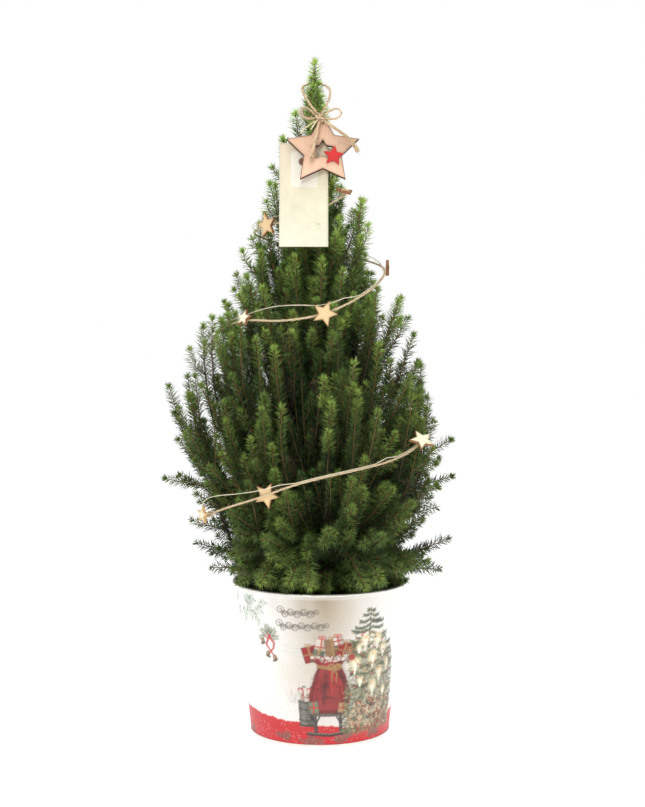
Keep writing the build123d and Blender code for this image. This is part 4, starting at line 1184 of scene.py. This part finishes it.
# a full red sack, tied at the neck, on a dark sledge, with gifts in its mouth
SACK, SACK_DARK, SACK_LIGHT = linear(150, 24, 26), linear(66, 16, 18), linear(190, 50, 44)
CREAM, CREAM_DARK, GOLD = linear(214, 204, 190), linear(130, 122, 112), linear(168, 130, 80)
GIFTS = [(-9, 92, 6.4, 7.5, 16, SACK), (1, 99, 5.6, 8, -7, CREAM),
         (33, 96, 4.6, 5.5, -34, linear(86, 100, 66)), (12, 97, 6.6, 9.5, 7, linear(140, 104, 72)),
         (23, 95, 6, 8, -16, SACK), (17, 105, 4.2, 3.8, 12, CREAM),
         (-2, 90, 5, 6, -18, linear(104, 112, 92)), (30, 90, 5, 6, 14, linear(150, 112, 82))]
for s, z, w, h, turn, tone in GIFTS:
    lay(0.9 * soft(slab(s, z, w + 0.5, h + 0.5, turn), 0.8), tone * 0.35)
    lay(0.95 * soft(slab(s, z, w, h, turn), 0.8), tone)
    lay(0.55 * soft(slab(s + 0.6 * w, z, w * 0.4, h, turn), 1.6), tone * 0.45)
    c, n = math.cos(math.radians(turn)), math.sin(math.radians(turn))
    ribbon = SACK_LIGHT if tone is CREAM else GOLD
    dab([(s + n * h, z - c * h), (s - n * h, z + c * h)], 0.8, 0.8, ribbon, 0.9)
    dab([(s - c * w, z - n * w), (s + c * w, z + n * w)], 0.7, 0.7, ribbon * 0.8, 0.9)
    for side in (-1, 1):
        dab(spiral(s - n * h + side * 1.6, z + c * h + 1.2, 1.6, 1.2, 0, 0.95), 0.5, 0.4, ribbon, 0.9)
SLED, SLED_PALE = linear(52, 46, 44), linear(116, 104, 94)
for x in (-5, 21):
    dab([(x, 33), (x + 1.5, 15)], 1.9, 1.9, SLED, 0.95)
    dab([(x - 4, 31), (x + 1, 24)], 0.9, 0.9, SLED, 0.9)
    dab([(x + 5, 31), (x + 1, 24)], 0.9, 0.9, SLED, 0.9)
    dab([(x - 0.6, 32), (x + 0.9, 16)], 0.4, 0.4, SLED_PALE, 0.6)
for lift, tone in [(0, SLED), (1.0, SLED_PALE)]:
    dab([(-12, 14 + lift), (10, 12.6 + lift), (30, 14.4 + lift), (35, 19 + lift), (33.5, 23 + lift)],
        1.7 - lift, 1.5 - lift, tone, 0.95)
plank = np.maximum(np.abs(S - 10) - 21, np.abs(Z - 33.5 - 0.0025 * (S - 10) ** 2) - 2.6)
lay(0.95 * soft(plank, 1.0), linear(84, 74, 66))
for k in range(60):
    x, z = r2.uniform(-10, 29), r2.uniform(31, 36.5)
    dab([(x, z), (x + r2.uniform(1, 4), z)], 0.4, 0.2,
        [SLED, SLED_PALE, linear(140, 128, 112)][r2.integers(0, 3)], 0.5)
sack_mid = np.interp(Z, [36, 60, 90], [10.5, 10.5, 9.0])
sack_half = np.interp(Z, [34.5, 35.5, 38, 43, 52, 62, 70, 76, 80, 83, 88],
                      [10, 14.5, 18.0, 20.5, 20.5, 18.5, 15.5, 12.5, 11.0, 12.5, 18.0])
body = np.maximum(np.abs(S - sack_mid) - sack_half - 0.5 * wave(Z / 4, 71), np.maximum(Z - 88, 34.5 - Z))
lay(0.96 * soft(body, 0.8), SACK)
lay(0.8 * soft(np.maximum(body, -(S - sack_mid - sack_half * 0.5)), 8.0), SACK_DARK)
lay(0.5 * soft(np.maximum(body, S - sack_mid + sack_half * 0.75), 5.0), SACK_DARK)
lay(0.7 * soft(np.maximum(body, Z - 37), 5.0), SACK_DARK)
for _ in range(90):
    q = r2.uniform(-1, 1)
    z0, z1 = r2.uniform(60, 79), r2.uniform(38, 60)
    x0, x1 = 9 + q * 10, 10.5 + q * 19.5 + r2.normal(0, 1.2)
    tone = [SACK_DARK, SACK_LIGHT, SACK_DARK, SACK_LIGHT, linear(120, 18, 20)][r2.integers(0, 5)]
    dab([(x0, z0), ((x0 + x1) / 2 + q * 1.5, (z0 + z1) / 2 + 2), (x1, z1)], r2.uniform(0.5, 1.3), 0.3, tone,
        0.4, 1.6)
for _ in range(26):
    q, x = r2.uniform(40, 74), r2.uniform(-7, 26)
    dab([(x - 3, q + 1.4), (x, q - 0.4), (x + 3.5, q + 1)], 0.7, 0.2, SACK_DARK, 0.45, 1.4)
for dz in (0, 1.7):
    dab([(-2.5, 79.6 + dz), (9, 77.4 + dz), (20.5, 79.6 + dz)], 0.8, 0.8, GOLD * 0.7, 0.95)
    dab([(-2.5, 80 + dz), (9, 77.8 + dz), (20.5, 80 + dz)], 0.3, 0.3, GOLD * 1.25, 0.8)
for x, side in ((14, -1), (14, 1)):
    dab(spiral(x + side * 3.2, 79.5, 3.0, 2.6, 0, 0.95), 0.7, 0.6, GOLD, 0.95)
    dab([(x, 78), (x + side * 2.5, 72), (x + side * 2, 65)], 0.8, 0.4, GOLD * 0.85, 0.95)
for k in range(110):
    q = r2.uniform(0, 1)
    x, z = -8 + 35 * q, 87 - 6 * q * (1 - q) + r2.uniform(-0.5, 4.0)
    dab([(x, z), (x + r2.uniform(-1.5, 1.5), z + r2.uniform(-1.5, 1.5))], 0.9, 0.5,
        [CREAM, CREAM_DARK, SACK, CREAM * 1.1][r2.integers(0, 4)], 0.8)
for x, z, w, h, turn, tone in [(-6, 40, 4.5, 5.5, 8, linear(122, 128, 104)),
                               (24, 39, 5, 4.6, -8, linear(176, 140, 100))]:
    lay(0.95 * soft(slab(x, z, w + 0.4, h + 0.4, turn), 0.8), tone * 0.4)
    lay(0.95 * soft(slab(x, z, w, h, turn), 0.8), tone)
    dab([(x, z - h), (x, z + h)], 0.7, 0.7, SACK_LIGHT, 0.9)
    dab([(x - w, z), (x + w, z)], 0.6, 0.6, SACK_LIGHT, 0.9)
# decorated candle tree
TREE, TREE_DARK, TREE_PALE = linear(78, 90, 56), linear(46, 56, 36), linear(132, 136, 96)


def tree_mid(z):
    return np.interp(z, [14, 71, 95, 112, 131], [58, 58, 56, 52, 48.5])


def tree_half(z):
    return np.interp(z, [14, 45, 71, 88, 95, 108, 112, 120, 131], [34, 33, 30, 27, 22, 19, 13, 8, 0.5])


shape_of_tree = np.abs(S - tree_mid(Z)) - tree_half(Z) * (0.84 + 0.12 * wave(Z / 3.5, 77))
lay(0.75 * soft(np.maximum(shape_of_tree, np.maximum(Z - 96, 14 - Z)), 12.0), linear(148, 142, 112))
for _ in range(2600):
    z = 104 - 90 * math.sqrt(r2.random())
    x = r2.uniform(-1, 1)
    s = tree_mid(z) + x * tree_half(z)
    fall = r2.uniform(-0.6, 2.2)
    tone = [TREE, TREE_DARK, TREE_PALE, TREE, linear(112, 96, 66), linear(168, 160, 128)][r2.integers(0, 6)]
    dab([(s, z), (s + r2.uniform(-1, 1) + math.copysign(r2.uniform(0.5, 3.2), x), z - fall)],
        r2.uniform(0.4, 0.9), 0.25, tone, 0.6)
dab([(48.5, 135), (49, 96)], 0.3, 1.0, TREE_DARK, 0.9)
branches = [(130, -1, 4), (129, 1, 4), (126, -1, 8), (125, 1, 8), (121, -1, 12), (120, 1, 11), (118, 1, 15),
            (116, -1, 17), (113, 1, 15), (111, -1, 20), (108, 1, 20), (106, -1, 17), (103, -1, 22),
            (102, 1, 19), (98, -1, 24), (97, 1, 23), (92, -1, 23), (91, 1, 25), (86, -1, 27), (84, 1, 26),
            (78, -1, 27), (76, 1, 28), (69, -1, 28), (66, 1, 29), (58, -1, 26), (55, 1, 30)]
for z, side, reach in branches:
    mid = tree_mid(z) * 0.4 + 48.8 * 0.6 if z > 100 else tree_mid(z)
    turn = r2.uniform(0.1, 0.3)
    q = np.linspace(0, 1, 9)
    xs = mid + side * reach * q
    zs = z + 3 - reach * turn * np.sin(q * 2.2) + 0.1 * reach * q * q
    dab(list(zip(xs, zs)), 0.6, 0.3, linear(92, 78, 56), 0.7)
    for k in range(int(reach * 1.5)):
        w = (k + r2.random()) / (reach * 1.5)
        x0, z0 = np.interp(w, q, xs), np.interp(w, q, zs)
        for up in (-1, 1):
            tone = [TREE, TREE_DARK, TREE_PALE, TREE][r2.integers(0, 4)]
            dab([(x0, z0), (x0 + side * r2.uniform(1, 2.2), z0 + up * r2.uniform(1.2, 2.4))], 0.5, 0.2,
                tone, 0.8)
for k in range(16):
    z = 112 - 5.2 * k
    s0 = tree_mid(z) + r2.uniform(-0.8, 0.2) * tree_half(z)
    dab([(s0, z), (s0 + 8, z - 3.4), (s0 + 17, z - 1.6)], 0.5, 0.5, linear(206, 190, 150), 0.6)
for s, z, size in [(44.5, 103, 1.0), (59, 103, 1.0), (34.5, 81, 1.1), (54.5, 86, 1.1), (68, 92, 0.8),
                   (65, 69, 0.9), (57, 57, 1.0), (41, 64, 0.6), (76, 76, 0.6), (74, 50, 0.6),
                   (38, 96, 0.5)]:
    for w, alpha in [(6.0, 0.35), (4.0, 0.5), (2.6, 0.6)]:
        dab([(s, z), (s + 0.1, z + 1.5)], w * size, w * size, linear(246, 232, 190), alpha, 3.5)
    for turn in np.arange(0, 6.2, 0.7):
        dab([(s, z), (s + 5.5 * size * math.cos(turn), z + 5.5 * size * math.sin(turn))], 0.5, 0.1,
            linear(250, 244, 220), 0.5, 1.0)
    dab([(s, z - 9 * size), (s, z + 2)], 0.9, 1.2, linear(248, 244, 226), 0.9)
    dab([(s + 1.6, z - 6 * size), (s + 1.4, z - 1)], 0.3, 0.5, linear(248, 244, 226), 0.8)
    dab([(s, z + 2), (s, z + 5 * size)], 0.8, 0.2, linear(228, 170, 84), 0.9)
for _ in range(90):
    z = r2.uniform(36, 112)
    s = tree_mid(z) + r2.uniform(-1, 1) * tree_half(z) * 0.95
    tone = [PRINT_RED, linear(170, 112, 70), linear(200, 176, 130), linear(130, 46, 42)][r2.integers(0, 4)]
    size = r2.uniform(0.6, 1.3)
    dab([(s, z), (s + 0.2, z)], size, size, tone, 0.85)
    dab([(s - 0.3 * size, z + 0.3 * size), (s - 0.2 * size, z + 0.35 * size)], 0.3, 0.2,
        linear(240, 220, 200), 0.7)
dab([(31, 88), (31.3, 88)], 3.0, 3.0, linear(168, 36, 36), 0.9)
for _ in range(340):
    z = r2.uniform(15, 44)
    s = arc_at(r2.uniform(22, 70)) if z < 30 else arc_at(r2.uniform(26, 70))
    tone = [linear(166, 100, 74), linear(186, 144, 104), linear(112, 70, 54), linear(92, 98, 64),
            linear(168, 56, 48), linear(214, 188, 156), linear(76, 60, 46)][r2.integers(0, 7)]
    turn = r2.uniform(0, math.pi)
    reach = r2.uniform(0.6, 3.0)
    dab([(s, z), (s + reach * math.cos(turn), z + reach * math.sin(turn) * 0.7)], r2.uniform(0.5, 1.4),
        r2.uniform(0.3, 1.1), tone, 0.8)
for k in range(26):
    s, z = arc_at(r2.uniform(24, 62)), r2.uniform(18, 44)
    dab(spiral(s, z, r2.uniform(1.6, 3.2), 0.8, r2.uniform(0, 6), 0.8), 0.45, 0.3, linear(222, 200, 170),
        0.75)
lay(0.35 * soft(-(Z - 144.5), 1.2), linear(250, 248, 244))
grain = 1 + 0.012 * r2.normal(0, 1, len(Z))
canvas = canvas * grain[:, None]
printed = Shape()
printed.add(points, grid_faces(len(print_z), len(print_az), True), canvas)
printed.piece("tin_print", PRINT, "tin", "printed_tin")

# ---------------------------------------------------------------- floor, light and camera
floor_mesh = bpy.data.meshes.new("floor")
floor_mesh.from_pydata([(-6, -6, 0), (6, -6, 0), (6, 6, 0), (-6, 6, 0)], [], [(0, 1, 2, 3)])
floor_mat, _, floor_bsdf = new_material("pale_floor")
floor_bsdf.inputs["Base Color"].default_value = (0.93, 0.93, 0.93, 1)
floor_bsdf.inputs["Roughness"].default_value = 0.9
floor_bsdf.inputs["Specular IOR Level"].default_value = 0.1
floor_bsdf.inputs["Emission Color"].default_value = (1, 1, 1, 1)
floor_bsdf.inputs["Emission Strength"].default_value = 0.68
floor_mesh.materials.append(floor_mat)
floor = bpy.data.objects.new("floor", floor_mesh)
scene.collection.objects.link(floor)

world = bpy.data.worlds.new("white_room")
world.use_nodes = True
world.node_tree.nodes["Background"].inputs["Color"].default_value = (1, 1, 1, 1)
backdrop = world.node_tree.nodes["Background"]
room = world.node_tree.nodes.new("ShaderNodeBackground")
room.inputs["Color"].default_value = (1, 1, 1, 1)
room.inputs["Strength"].default_value = 0.42
seen = world.node_tree.nodes.new("ShaderNodeLightPath")
either = world.node_tree.nodes.new("ShaderNodeMixShader")
world.node_tree.links.new(seen.outputs["Is Camera Ray"], either.inputs[0])
world.node_tree.links.new(room.outputs[0], either.inputs[1])
world.node_tree.links.new(backdrop.outputs[0], either.inputs[2])
world.node_tree.links.new(either.outputs[0], world.node_tree.nodes["World Output"].inputs["Surface"])
backdrop.inputs["Strength"].default_value = 1.0
scene.world = world
scene.view_settings.view_transform = "Standard"


def lamp(name, place, aim_at, size, power):
    li = bpy.data.lights.new(name, "AREA")
    li.shape = "DISK"
    li.size = size
    li.energy = power
    ob = bpy.data.objects.new(name, li)
    scene.collection.objects.link(ob)
    ob.location = place
    go = np.array(aim_at) - np.array(place)
    ob.rotation_euler = Vector(go).to_track_quat("-Z", "Y").to_euler()
    return ob


lamp("key", (-0.6, -1.5, 1.6), (0, 0, 0.3), 0.6, 13.6)
lamp("fill", (1.3, -1.2, 0.9), (0, 0, 0.3), 0.9, 3.4)
lamp("top", (0.1, -0.3, 1.9), (0, 0, 0.4), 0.7, 8.5)

CAMERA_PLACE = (0.0026, -1.38, 0.397)
CAMERA_DIP = 3.04
LENS_MM = 78.324
cam = bpy.data.cameras.new("camera")
cam.sensor_fit = "HORIZONTAL"
cam.sensor_width = 36
cam.lens = LENS_MM
cam.clip_start = 0.05
camera = bpy.data.objects.new("camera", cam)
scene.collection.objects.link(camera)
camera.location = CAMERA_PLACE
camera.rotation_euler = (math.radians(90 - CAMERA_DIP), 0, 0)
scene.camera = camera
